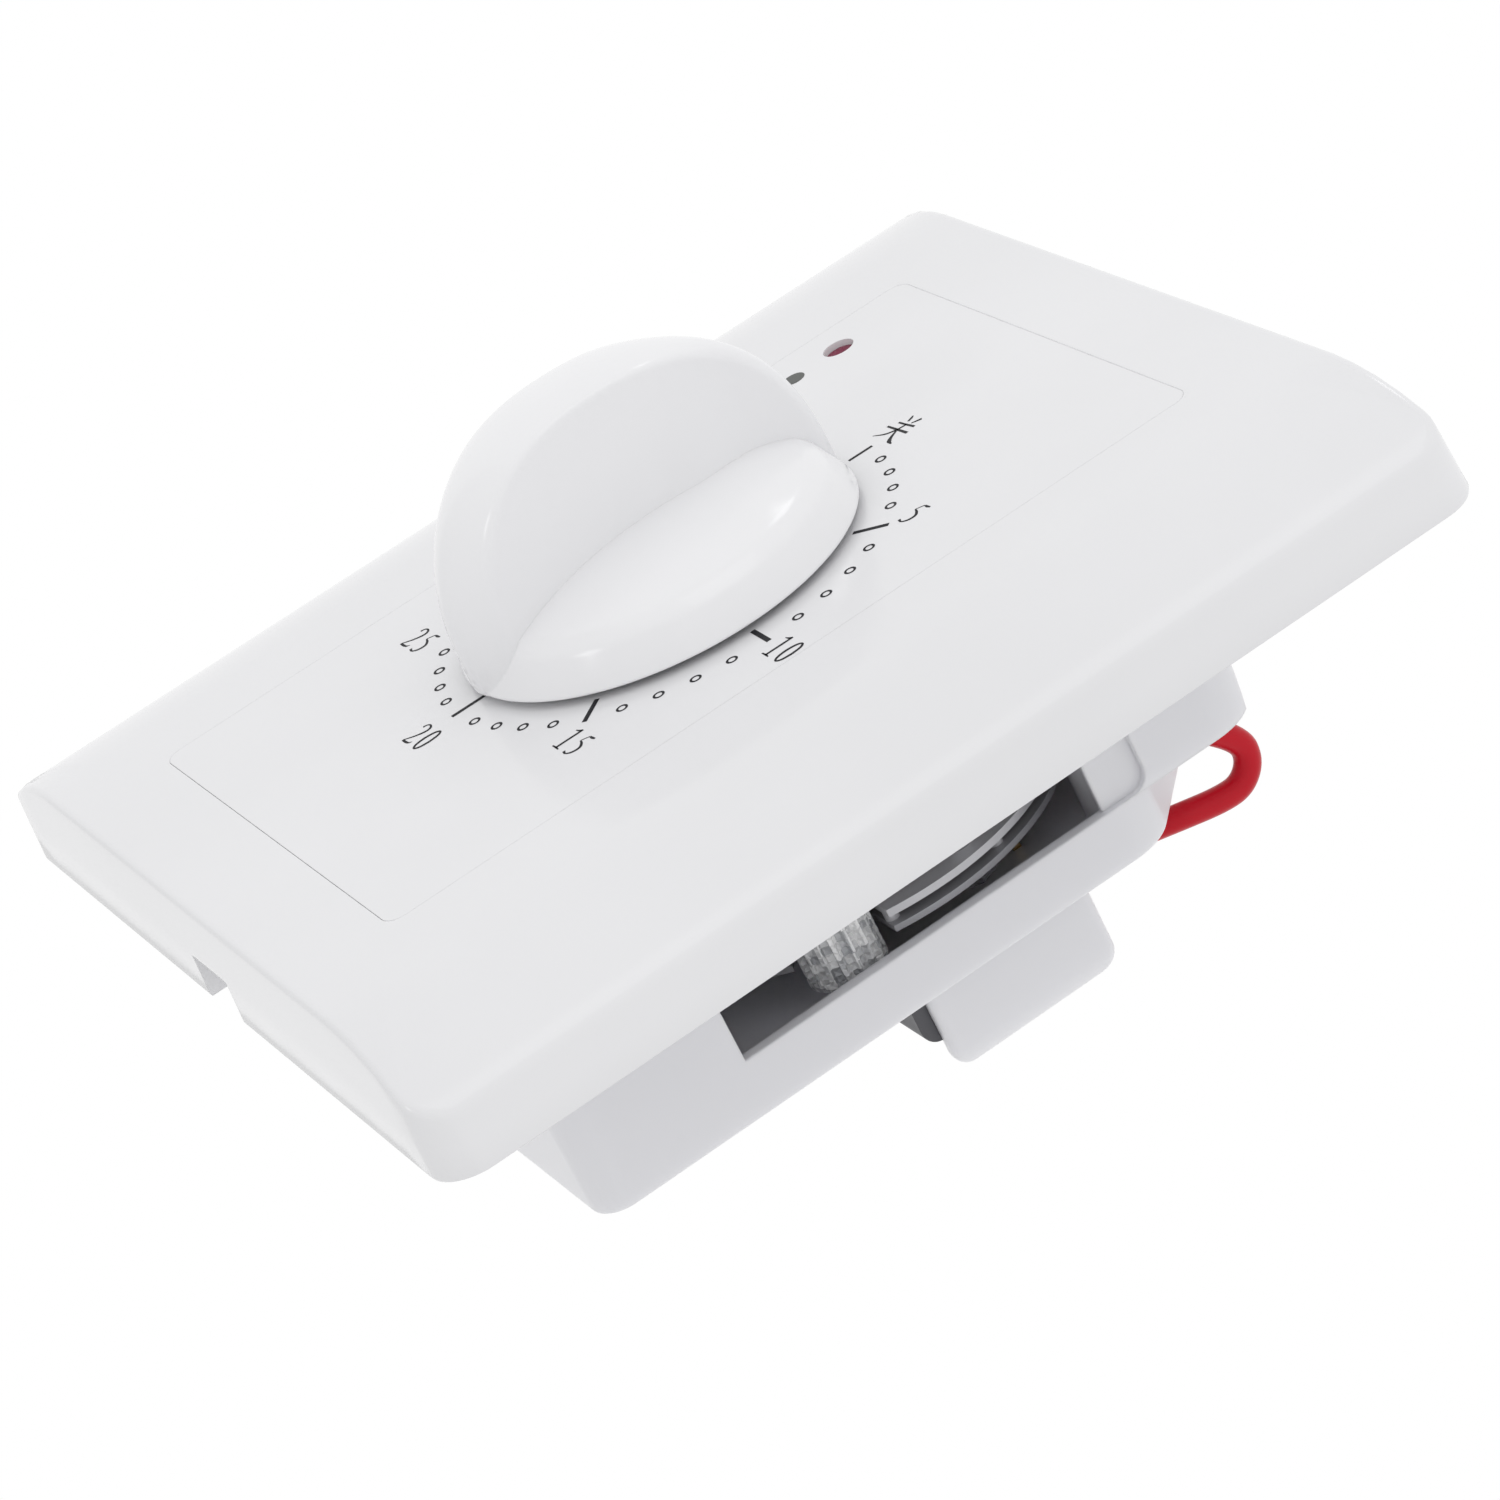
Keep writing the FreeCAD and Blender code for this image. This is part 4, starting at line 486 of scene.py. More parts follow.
FINISHES = {
    "gloss_white": lambda f: gloss_moulding("Gloss white moulding", f.gloss_white, f.gloss),
    # Lighter copy of the gloss moulding for the knob: painted light
    "knob_white": lambda f: gloss_moulding("Knob moulding with painted light", f.knob_white, f.gloss, edge=0.15 * MM),
    "housing_white": lambda f: housing_moulding(f.housing_white),
    "dark_plastic": lambda f: plastic(
        "Dark moulding", f.dark_plastic, smooth=0.35, rough=0.5, scale=1600.0, bump=0.15, fade=0.8),
    "clear_plastic": lambda f: clear_moulding(),
    "lens": lambda f: plastic(
        "Red lens", f.lens, smooth=0.05, rough=0.12, scale=1200.0, fade=0.8, Transmission_Weight=0.35,
        IOR=1.5),
    "glass": lambda f: plastic(
        "Lamp glass", (0.95, 0.93, 0.9), smooth=0.02, rough=0.06, scale=800.0, bump=0.02, fade=0.98,
        Transmission_Weight=1.0, IOR=1.5),
    "lead": lambda f: plastic(
        "Red insulation", f.lead, smooth=0.25, rough=0.35, scale=1300.0, bump=0.08, fade=0.86,
        Specular_IOR_Level=0.22),
    "resistor": lambda f: plastic(
        "Resistor lacquer", (0.56, 0.40, 0.22), smooth=0.25, rough=0.4, scale=1200.0, bump=0.1, fade=0.9),
    "ink": lambda f: plastic(
        "Dial ink", f.ink, smooth=0.5, rough=0.7, scale=2600.0, bump=0.1, fade=2.0,
        Specular_IOR_Level=0.2),
    "dot": lambda f: plastic(
        "Grey dot", (0.07, 0.075, 0.07), smooth=0.3, rough=0.5, scale=1500.0, bump=0.1, fade=1.3),
    "floor": lambda f: plastic(
        "Pale floor", (0.86, 0.86, 0.86), smooth=0.7, rough=0.85, scale=300.0, bump=0.02, fade=0.99),
    "brass": lambda f: metal("Stamped brass", f.brass, smooth=0.2, rough=0.38),
    "steel": lambda f: metal("Turned steel", f.steel, smooth=0.16, rough=0.34, scale=420.0),
    "spring_steel": lambda f: metal("Blued spring strip", (0.30, 0.31, 0.36), smooth=0.18, rough=0.34),
    "plated_steel": lambda f: metal(
        "Zinc plated sheet", (0.62, 0.62, 0.63), smooth=0.2, rough=0.36, scale=240.0),
    # Darker copy of the satin sheet, same gloss, for the contact plate that lies in shade: painted shade
    "shaded_sheet": lambda f: rolled_sheet("Sheet with painted shade", (0.36, 0.36, 0.38)),
    "satin_sheet": lambda f: rolled_sheet("Satin sheet", (0.56, 0.56, 0.58)),
    "contact": lambda f: metal("Silver contact", (0.82, 0.81, 0.78), smooth=0.15, rough=0.3),
}


@functools.cache
def material(key):
    """Each finish is made once, when a piece first asks for it."""
    return FINISHES[key](bpy.context.scene.timer_finish)


def dress(finishes):
    """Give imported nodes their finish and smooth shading."""
    for node, key in finishes.items():
        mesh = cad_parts[node].data
        mesh.materials.clear()
        mesh.materials.append(material(key))
        shade_smooth(mesh, NODE_CREASE)


# Cover

ROLL_LIMIT = 0.98
ROLL_PASSES = 8
WALL_LEVELS = (0.45, 0.75)
NOTCH_MARGIN = 0.02
NOTCH_STEP = 0.001 * MM
EDGE_STEPS = 6
FACE_STEPS = 30
UNDER_STEPS = 4
LEAD_IN_BEND = 0.3
ROUNDING = 1e-7


def face_height(plate, x):
    """Depth of the cover's face at a place across it: flat in the middle, rolled at the long sides."""
    run = plate.half_width - plate.side_draft - plate.flat_half
    drop = -plate.side_height - FACE
    roll = (run**2 + drop**2) / (2 * drop)
    beyond = min(max(abs(x) - plate.flat_half, 0.0), roll * ROLL_LIMIT)
    return FACE + roll - math.sqrt(roll**2 - beyond**2)


def cover_columns(plate):
    """For each column round the plate: its foot, its upper edge, and the direction out of the plate."""
    left, right, cheek = plate.notch_left, plate.notch_right, plate.notch_cheek
    marks = (left - NOTCH_STEP, left, left + cheek, right - cheek, right, right + NOTCH_STEP)
    columns = []
    for x, z, nx, nz in plan_loop(plate.half_width, plate.half_height, plate.corner, marks):
        lean = plate.side_draft / plate.side_height * nx**2 + plate.end_draft / -FACE * nz**2
        y = FACE
        for _ in range(ROLL_PASSES):
            top_x, top_z = x + nx * lean * y, z + nz * lean * y
            y = face_height(plate, top_x)
        columns.append((Vector((x, 0, z)), Vector((top_x, y, top_z)), Vector((nx, 0, nz))))
    return columns


def in_notch(plate, foot):
    return foot.z < -plate.half_height + plate.corner and plate.notch_left <= foot.x <= plate.notch_right


def wall_foot(plate, foot, top, above=0.0):
    """Place on the outer wall at its foot, or a little above it; the notch's foot is higher."""
    level = (plate.notch_height if in_notch(plate, foot) else 0.0) + above
    return foot.lerp(top, level / -top.y)


def wall_place(plate, foot, top, level):
    """Place at a share of the outer wall's height, kept above the notch."""
    if in_notch(plate, foot):
        level = max(level, (plate.notch_height + plate.foot_bevel) / -top.y + NOTCH_MARGIN)
    return foot.lerp(top, level)


def opening_loop(plate, columns):
    """A place on the opening's edge for each column round the plate."""
    margin = plate.panel_lip + plate.panel_gap
    half_x, half_z = PANEL_HIGH.x - margin, PANEL_HIGH.z - margin + plate.end_seam
    radius = plate.opening_corner
    reach_x, reach_z = plate.half_width - plate.corner, plate.half_height - plate.corner
    inner_x, inner_z = half_x - radius, half_z - radius
    loop = []
    for foot, _, n in columns:
        if n.z in (-1.0, 1.0) and abs(foot.x) <= reach_x + ROUNDING:
            loop.append((foot.x / reach_x * inner_x, n.z * half_z))
        elif n.x in (-1.0, 1.0):
            loop.append((n.x * half_x, foot.z / reach_z * inner_z))
        else:
            loop.append((math.copysign(inner_x, foot.x) + radius * n.x,
                         math.copysign(inner_z, foot.z) + radius * n.z))
    return loop


def outer_rings(plate, columns, opening):
    """From the foot of the outer wall over the rounded edge and across the face to the opening."""
    rings = [[wall_foot(plate, f, t) - n * plate.foot_lean for f, t, n in columns],
             [wall_foot(plate, f, t, plate.foot_bevel) for f, t, n in columns]]
    rings += [[wall_place(plate, f, t, level) for f, t, n in columns] for level in WALL_LEVELS]
    edges = []
    for foot, top, n in columns:
        down = (foot - top).normalized() * plate.rim
        inward = top - n * plate.rim
        inward.y = face_height(plate, inward.x)
        edges.append(bezier(top + down, top, inward, EDGE_STEPS))
    rings += [list(ring) for ring in zip(*edges)]
    for k in range(1, FACE_STEPS):
        ring = [e[-1].lerp(Vector((x, FACE, z)), k / FACE_STEPS) for e, (x, z) in zip(edges, opening)]
        for point in ring:
            point.y = face_height(plate, point.x)
        rings.append(ring)
    return rings


def inner_rings(plate, columns, opening):
    """Down the opening's wall and back under the face to the foot of the outer wall."""
    soft, bend = plate.lead_in, plate.lead_in * LEAD_IN_BEND
    rings = []
    for out, depth in ((soft, 0.0), (bend, bend), (0.0, soft), (0.0, plate.wall)):
        rings.append([Vector((x, FACE + depth, z + math.copysign(out, z))) for x, z in opening])
    for k in range(1, UNDER_STEPS + 1):
        ring = []
        for (_, top, n), (x, z) in zip(columns, opening):
            point = Vector((x, 0, z)).lerp(top - n * plate.wall, k / UNDER_STEPS)
            point.y = face_height(plate, point.x) + plate.wall
            ring.append(point)
        rings.append(ring)
    rings.append([wall_foot(plate, f, t) - n * plate.wall for f, t, n in columns])
    return rings


def make_cover(plate):
    columns = cover_columns(plate)
    opening = opening_loop(plate, columns)
    rings = outer_rings(plate, columns, opening) + inner_rings(plate, columns, opening)
    mesh = clean_mesh("moulded_cover", *skin(rings, closed=True), PIECE_MERGE)
    shade_smooth(mesh, COVER_CREASE)
    cover = finish_piece("moulded_cover", mesh, material("gloss_white"))
    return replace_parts(cover, "front_cover")


class TimerCover(bpy.types.Operator):
    """Build the glossy cover with its rolled shoulders, drafted walls and pry notch"""
    bl_idname = "object.timer_cover"
    bl_label = "Cover"

    def execute(self, context):
        make_cover(context.scene.timer_plate)
        dress({"dial_panel": "gloss_white"})
        return {"FINISHED"}


# Dial print

MINUTES = 30
MINUTES_PER_TICK = 5
DEGREES_PER_MINUTE = 9.0
ROUND_SIDES = 24
STROKE_STEPS = 6

# Strokes of each character in millimetres from its middle, each as its points and then its widths there
DIGITS = {
    "0": (((0.48, 0.0), (0.34, 0.80), (0.0, 1.13), (-0.34, 0.80), (-0.48, 0.0), (-0.34, -0.80),
           (0.0, -1.13), (0.34, -0.80), (0.48, 0.0)),
          (0.29, 0.26, 0.17, 0.26, 0.29, 0.26, 0.17, 0.26, 0.29)),
    "1": (((0.06, 1.19), (0.06, 0.4), (0.06, -0.4), (0.06, -1.15)), (0.22, 0.26, 0.26, 0.26),
          ((-0.55, 0.86), (-0.2, 0.95), (0.1, 1.12)), (0.07, 0.18, 0.22),
          ((-0.5, -1.14), (0.0, -1.12), (0.52, -1.14)), (0.12, 0.16, 0.12)),
    "2": (((-0.5, 0.64), (-0.38, 0.98), (-0.04, 1.10), (0.32, 0.88), (0.38, 0.45), (0.05, -0.3),
           (-0.5, -1.06)),
          (0.22, 0.15, 0.15, 0.24, 0.26, 0.2, 0.12),
          ((-0.55, -1.10), (0.0, -1.10), (0.4, -1.04), (0.62, -0.8)), (0.2, 0.22, 0.18, 0.07)),
    "3": (((-0.48, 0.78), (-0.2, 1.08), (0.22, 0.98), (0.28, 0.5), (-0.08, 0.14), (0.36, -0.2),
           (0.34, -0.82), (-0.08, -1.13), (-0.5, -0.98)),
          (0.2, 0.14, 0.22, 0.22, 0.12, 0.24, 0.26, 0.14, 0.22)),
    "5": (((-0.1, 1.05), (0.25, 1.05), (0.58, 1.12)), (0.16, 0.24, 0.14),
          ((-0.14, 1.05), (-0.3, 0.72), (-0.44, 0.38)), (0.12, 0.11, 0.10),
          ((-0.44, 0.38), (0.02, 0.24), (0.42, -0.1), (0.40, -0.68), (0.0, -1.10), (-0.48, -1.02)),
          (0.12, 0.22, 0.27, 0.25, 0.14, 0.24)),
    "off": (((-0.58, 1.58), (-0.38, 1.30), (-0.2, 0.93)), (0.08, 0.17, 0.14),
            ((0.72, 1.67), (0.56, 1.28), (0.36, 0.9)), (0.2, 0.16, 0.08),
            ((-0.95, 0.48), (0.1, 0.60), (1.17, 0.76)), (0.13, 0.14, 0.17),
            ((-1.45, -0.27), (0.0, -0.15), (1.42, -0.03)), (0.14, 0.17, 0.19),
            ((0.1, 0.62), (0.03, 0.1), (-0.06, -0.4)), (0.16, 0.16, 0.16),
            ((-0.06, -0.3), (-0.5, -1.0), (-1.42, -1.62)), (0.17, 0.15, 0.05),
            ((0.08, -0.3), (0.5, -0.95), (0.95, -1.40), (1.52, -1.52)), (0.13, 0.2, 0.28, 0.08)),
}

# Middle of each numeral and of the off mark, as shares of the scale's radius
NUMERALS = {5: (0.769, 0.825), 10: (1.163, 0.0), 15: (0.828, -0.823),
            20: (0.009, -1.172), 25: (-0.826, -0.825), 30: (-1.163, 0.0)}
OFF_PLACE = (0.0, 1.162)


def print_place(dial, point):
    """Place of a printed point, with the print's own skew and shift."""
    turned = Matrix.Rotation(dial.skew, 2) @ point
    return Vector((turned.x + dial.shift_x, FACE - dial.ink, turned.y + dial.shift_z))


def stroke(points, widths):
    """Ribbon of changing width along a smooth line, as the points of its two edges."""
    line = through([Vector(p) for p in points], STROKE_STEPS)
    left, right = [], []
    for k, p in enumerate(line):
        along = (line[min(k + 1, len(line) - 1)] - line[max(k - 1, 0)]).normalized()
        across = Vector((-along.y, along.x))
        place = k / STROKE_STEPS
        low = min(int(place), len(widths) - 2)
        half = (widths[low] + (widths[low + 1] - widths[low]) * (place - low)) / 2
        left.append(p + across * half)
        right.append(p - across * half)
    return left, right


def character(dial, name, centre):
    """Ribbons of a character round its middle."""
    weight = dial.off_weight if name == "off" else 1.0
    shape = DIGITS[name]
    ribbons = []
    for points, widths in zip(shape[0::2], shape[1::2]):
        edges = stroke(points, [w * weight for w in widths])
        ribbons.append([[p * MM + centre for p in edge] for edge in edges])
    return ribbons


def tick_mark(dial, minute, out):
    """Ribbon of a five-minute tick along a direction out of the axis."""
    inner = dial.tick_inner if minute else dial.off_tick_inner
    width = dial.tick_width if minute else dial.off_tick_width
    across = Vector((-out.y, out.x)) * width / 2
    ends = (out * inner, out * dial.tick_outer)
    return [p + across for p in ends], [p - across for p in ends]


def ring_mark(dial, out):
    """Ribbon of a minute ring along a direction out of the axis."""
    spokes = [Vector(place) for place in circle(ROUND_SIDES)]
    spokes.append(spokes[0])
    centre, hole = out * dial.radius, dial.ring_radius - dial.ring_line
    return [centre + s * dial.ring_radius for s in spokes], [centre + s * hole for s in spokes]


def ink_piece(dial, name, ribbons):
    """Flat piece of ink made of ribbons."""
    verts, faces = [], []
    for left, right in ribbons:
        start = len(verts)
        for pair in zip(left, right):
            verts += [print_place(dial, point) for point in pair]
        faces += [(i, i + 1, i + 3, i + 2) for i in range(start, len(verts) - 2, 2)]
    finish_piece(name, clean_mesh(name, verts, faces, PIECE_MERGE), material("ink"))


def make_dial(dial):
    for minute in range(MINUTES + 1):
        turn = math.radians(90.0 - DEGREES_PER_MINUTE * minute)
        out = Vector((math.cos(turn), math.sin(turn)))
        if minute % MINUTES_PER_TICK == 0:
            ink_piece(dial, "tick_%02d" % minute, [tick_mark(dial, minute, out)])
        else:
            ink_piece(dial, "ring_%02d" % minute, [ring_mark(dial, out)])
    for minute, (x, z) in NUMERALS.items():
        text = str(minute)
        for k, digit in enumerate(text):
            shift = (k - (len(text) - 1) / 2) * dial.digit_pitch
            centre = Vector((x * dial.radius + shift, z * dial.radius))
            ink_piece(dial, "numeral_%02d_%d" % (minute, k), character(dial, digit, centre))
    ink_piece(dial, "off_mark", character(dial, "off", Vector(OFF_PLACE) * dial.radius))


class TimerDial(bpy.types.Operator):
    """Print the minute scale, its numerals and the off mark on the panel"""
    bl_idname = "object.timer_dial"
    bl_label = "Dial print"

    def execute(self, context):
        make_dial(context.scene.timer_dial)
        return {"FINISHED"}


# Indicator

def make_dot(dial):
    y = FACE - dial.ink
    verts = [(dial.dot_x + dial.dot_radius * x, y, dial.dot_z + dial.dot_radius * z)
             for x, z in circle(ROUND_SIDES)]
    verts.append((dial.dot_x, y, dial.dot_z))
    faces = [(k, (k + 1) % ROUND_SIDES, ROUND_SIDES) for k in range(ROUND_SIDES)]
    finish_piece("grey_dot", clean_mesh("grey_dot", verts, faces, PIECE_MERGE), material("dot"))


class TimerIndicator(bpy.types.Operator):
    """Finish the red lens, its lamp and resistor, and the grey dot beside it"""
    bl_idname = "object.timer_indicator"
    bl_label = "Indicator"

    def execute(self, context):
        dress({"indicator_lens": "lens", "lamp": "glass", "lamp_resistor": "resistor"})
        make_dot(context.scene.timer_dial)
        return {"FINISHED"}


# Knob

AXIS_GAP = 0.02 * MM
FOOT_GAP = 0.02 * MM
DISC_COLUMNS = 128
DOME_STEPS = 26
CORNER_STEPS = 5
GRIP_STEPS = 72
CROWN_STEPS = 18
ARCH_LIMIT = 0.6


def rounded_line(points, fillet):
    """Join profile points with straight lines and small rounded corners."""
    line = [points[0]]
    for before, corner, after in zip(points, points[1:], points[2:]):
        a = corner + (before - corner).normalized() * min(fillet, (before - corner).length / 2)
        b = corner + (after - corner).normalized() * min(fillet, (after - corner).length / 2)
        line += bezier(a, corner, b, CORNER_STEPS)
    return line + [points[-1]]


def revolved(profile):
    """Rings about the knob's axis from (radius, height over the face) points."""
    return [[Vector((r * x, FACE - h, r * z)) for x, z in circle(DISC_COLUMNS)] for r, h in profile]


def dome_height(knob, r):
    return knob.dome - knob.dome_fall * (r / knob.shoulder) ** knob.dome_power


def disc_profile(knob):
    """Dome, rim and hollow underside from the axis outward and back, as radius and height."""
    reach = knob.shoulder - knob.fillet
    dome = [Vector((r, dome_height(knob, r))) for r in even(AXIS_GAP, reach, DOME_STEPS)]
    under = knob.lift + knob.hub_recess
    corners = (
        (knob.shoulder, knob.shoulder_height), (knob.rim, knob.lift), (knob.rim - knob.skirt, knob.lift),
        (knob.hollow, knob.hollow_height), (knob.hub_foot, knob.hub_foot_height), (knob.hub, under),
        (knob.bore, under), (knob.bore, knob.bore_height), (AXIS_GAP, knob.bore_height),
    )
    return dome[:-1] + rounded_line([dome[-1]] + [Vector(c) for c in corners], knob.fillet)


def surface_height(knob, r):
    """Height of the disc's upper side, over its dome or its rim's cone."""
    if r < knob.shoulder:
        return dome_height(knob, r)
    beyond = (r - knob.shoulder) / (knob.rim - knob.shoulder)
    return knob.shoulder_height + (knob.lift - knob.shoulder_height) * beyond


def grip_outline(knob):
    """Outline of the grip seen from the side, from one end's foot over the crown: place and height."""
    rise = knob.grip_height - knob.grip_foot
    foot = knob.lift + FOOT_GAP
    points = [Vector((-knob.rim, foot))]
    for k in range(GRIP_STEPS + 1):
        turn = math.pi * k / GRIP_STEPS
        along, up = -math.cos(turn), math.sin(turn)
        reach = knob.rim * math.copysign(abs(along) ** (2 / knob.grip_power), along)
        points.append(Vector((reach, knob.grip_foot + rise * abs(up) ** (2 / knob.grip_power))))
    return points + [Vector((knob.rim, foot))]


def grip_half_width(knob, z):
    """Half width at a place along the grip: a slow taper up to its start, then a rounded nose."""
    if z > knob.taper_start:
        taper = knob.taper_rate * ((z - knob.taper_start) / MM) ** knob.taper_power * MM
        above = knob.grip_half - taper - knob.nose_half
        start = knob.grip_half - knob.nose_half
        blend = math.hypot(above, knob.nose_blend) - math.hypot(start, knob.nose_blend) + start
        return knob.nose_half + (above + blend) / 2
    back = (knob.taper_start - z) / (knob.taper_start + knob.rim)
    return knob.grip_half + (knob.grip_end_half - knob.grip_half) * back


def grip_rings(knob):
    """Sections of the grip square to its outline: two flat sides and an arched crown with crisp edges."""
    outline = grip_outline(knob)
    rings = []
    for k, place in enumerate(outline):
        along = (outline[min(k + 1, len(outline) - 1)] - outline[max(k - 1, 0)]).normalized()
        inward = Vector((along.y, -along.x))
        half = grip_half_width(knob, place.x)
        arch = knob.crown_arch + (knob.end_arch - knob.crown_arch) * inward.x**2
        arch = min(arch, half * ARCH_LIMIT)
        near = half - knob.crown_edge
        near_fall, fall = [arch * (x / half) ** knob.arch_power for x in (near, half)]
        corner = Vector((half, fall))
        below = corner + Vector((0.0, knob.crown_edge))
        edge = bezier(below, corner, Vector((near, near_fall)), CORNER_STEPS)
        crown = [near * math.cos(math.pi * c / CROWN_STEPS) for c in range(1, CROWN_STEPS)]
        crown = [Vector((x, arch * (abs(x) / half) ** knob.arch_power)) for x in crown]
        foot = place + inward * edge[0].y
        foot.y = min(foot.y, surface_height(knob, abs(foot.x)) - knob.grip_sink)
        side = [(half, foot)] + [(p.x, place + inward * p.y) for p in edge]
        ring = side + [(p.x, place + inward * p.y) for p in crown] + [(-x, p) for x, p in reversed(side)]
        rings.append([Vector((x, FACE - p.y, p.x * math.sqrt(1 - (x / knob.rim) ** 2))) for x, p in ring])
    return rings


def capped(rings):
    """Skin over rings, closed at both ends."""
    verts, faces = skin(rings)
    count = len(rings[0])
    last = len(verts) - count
    faces.append(tuple(range(count)))
    faces.append(tuple(range(last, last + count)))
    return verts, faces


def union(first, second):
    """Mesh of two solids made one; both objects are removed."""
    modifier = first.modifiers.new("join", "BOOLEAN")
    modifier.operation = "UNION"
    modifier.solver = "EXACT"
    modifier.object = second
    bpy.context.view_layer.update()
    mesh = bpy.data.meshes.new_from_object(first.evaluated_get(bpy.context.evaluated_depsgraph_get()))
    bpy.data.objects.remove(first)
    bpy.data.objects.remove(second)
    return mesh


def make_knob(knob):
    disc = linked("disc", clean_mesh("disc", *capped(revolved(disc_profile(knob))), SOLID_MERGE))
    grip = linked("grip", clean_mesh("grip", *capped(grip_rings(knob)), SOLID_MERGE))
    mesh = union(disc, grip)
    shade_smooth(mesh, KNOB_CREASE)
    piece = finish_piece("turn_knob", mesh, material("knob_white"), "dial")
    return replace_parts(piece, "knob")


class TimerKnob(bpy.types.Operator):
    """Build the knob: a domed disc with a grip across it"""
    bl_idname = "object.timer_knob"
    bl_label = "Knob"

    def execute(self, context):
        make_knob(context.scene.timer_knob)
        dress({"knob_hub_ring": "spring_steel"})
        return {"FINISHED"}


# Housing and terminals

class TimerHousing(bpy.types.Operator):
    """Finish the base plate and the housing behind it"""
    bl_idname = "object.timer_housing"
    bl_label = "Housing"

    def execute(self, context):
        dress({"rear_housing": "housing_white", "base_plate": "housing_white",
               "housing_screws": "plated_steel"})
        return {"FINISHED"}


class TimerTerminals(bpy.types.Operator):
    """Finish the terminal cover, block, clamps and screws"""
    bl_idname = "object.timer_terminals"
    bl_label = "Terminals"

    def execute(self, context):
        dress({"terminal_cover": "housing_white", "terminal_block": "dark_plastic",
               "terminal_clamps": "brass", "terminal_screws": "plated_steel"})
        return {"FINISHED"}


# Control points of the lead's middle in millimetres, from the terminal block to the housing
LEAD_POINTS = (
    (7.5, 25.4, 13.7), (7.5, 25.4, 17.2), (9.6, 24.9, 20.6), (11.9, 24.6, 24.0), (12.5, 24.96, 27.02),
    (12.5, 24.96, 28.98), (12.5, 23.58, 30.36), (12.5, 21.62, 30.36), (12.5, 18.46, 27.20),
    (12.5, 12.0, 27.20),
)
LEAD_RADIUS = 1.05 * MM
CURVE_ORDER = 3
CURVE_STEPS = 16
BEVEL_STEPS = 8


class TimerLead(bpy.types.Operator):
    """Lay the red lead from the terminal block over to the housing"""
    bl_idname = "object.timer_lead"
    bl_label = "Lamp lead"

    def execute(self, context):
        curve = bpy.data.curves.new("red_lead", "CURVE")
        curve.dimensions = "3D"
        spline = curve.splines.new("NURBS")
        spline.points.add(len(LEAD_POINTS) - 1)
        for point, place in zip(spline.points, LEAD_POINTS):
            point.co = (*(c * MM for c in place), 1.0)
        spline.order_u = CURVE_ORDER
        spline.use_endpoint_u = True
        curve.resolution_u = CURVE_STEPS
        curve.bevel_depth = LEAD_RADIUS
        curve.bevel_resolution = BEVEL_STEPS
        curve.use_fill_caps = True
        curve.materials.append(material("lead"))
        lead = linked("red_lead", curve)
        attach(lead, "root")
        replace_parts(lead, "lamp_lead")
        return {"FINISHED"}


# Movement and switch

FRAME_FINISHES = {
    "movement_front_plate": "plated_steel", "movement_rear_plate": "satin_sheet",
    "contact_plate": "shaded_sheet", "plate_pillars": "steel", "pillar_nuts": "steel",
    "plate_spacers": "satin_sheet", "movement_screws": "plated_steel",
}
CLOCK_FINISHES = {
    "main_arbor": "steel", "mainspring": "spring_steel", "spring_post": "steel",
    "clutch_spring": "spring_steel", "great_wheel": "brass", "second_arbor": "steel",
    "second_wheel": "brass", "third_arbor": "steel", "third_wheel": "brass", "escape_arbor": "steel",
    "escape_wheel": "brass", "balance_staff": "steel", "balance_drum": "clear_plastic", "pallet": "steel",
}
SWITCH_FINISHES = {
    "switch_cam": "dark_plastic", "contact_lever": "spring_steel", "moving_contact": "contact",
    "lever_pivot": "steel", "fixed_contact_blade": "brass", "fixed_contact": "contact",
}


class TimerFrame(bpy.types.Operator):
    """Finish the plates, pillars, nuts and screws of the movement"""
    bl_idname = "object.timer_frame"
    bl_label = "Movement frame"

    def execute(self, context):
        dress(FRAME_FINISHES)
        return {"FINISHED"}


class TimerClockwork(bpy.types.Operator):
    """Finish the spring, wheels, arbors and the clear balance drum"""
    bl_idname = "object.timer_clockwork"
    bl_label = "Clockwork"

    def execute(self, context):
        dress(CLOCK_FINISHES)
        return {"FINISHED"}


class TimerSwitch(bpy.types.Operator):
    """Finish the cam, the lever and the contacts"""
    bl_idname = "object.timer_switch"
    bl_label = "Switch"

    def execute(self, context):
        dress(SWITCH_FINISHES)
        return {"FINISHED"}


# Stage

FLOOR_HALF = 1.5
NEAR_CLIP = 0.01
KEY_SIZE = (0.16, 0.12)
SIDE_SIZE = (0.12, 0.12)
FRONT_SIZE = (0.40, 0.40)


def white_behind(tree, surface_shader, out):
    """Show plain white to the camera, reflections and glass, and the given shader to everything else."""
    path = add_node(tree, "LightPath")
    seen = path["Is Camera Ray"]
    for ray in ("Is Glossy Ray", "Is Transmission Ray"):
        seen = add_node(tree, "Math", {0: seen, 1: path[ray]}, operation="MAXIMUM")["Value"]
    white = add_node(tree, "Background", {"Color": WHITE})["Background"]
    plug(tree, add_node(tree, "MixShader", {0: seen, 1: surface_shader, 2: white})["Shader"], out)


def make_world(stage):
    world = bpy.data.worlds.new("Studio")
    world.use_nodes = True
    bpy.context.scene.world = world
    tree = world.node_tree
    ambient = tree.nodes["Background"]
    ambient.inputs["Color"].default_value = WHITE
    ambient.inputs["Strength"].default_value = stage.ambient
    white_behind(tree, ambient.outputs["Background"], tree.nodes["World Output"].inputs["Surface"])


def make_floor(stage):
    corners = ((-1, -1), (1, -1), (1, 1), (-1, 1))
    verts = [(x * FLOOR_HALF, y * FLOOR_HALF, stage.floor) for x, y in corners]
    mesh = bpy.data.meshes.new("floor")
    mesh.from_pydata(verts, [], [(0, 1, 2, 3)])
    mesh.materials.append(material("floor"))
    floor = linked("floor", mesh)


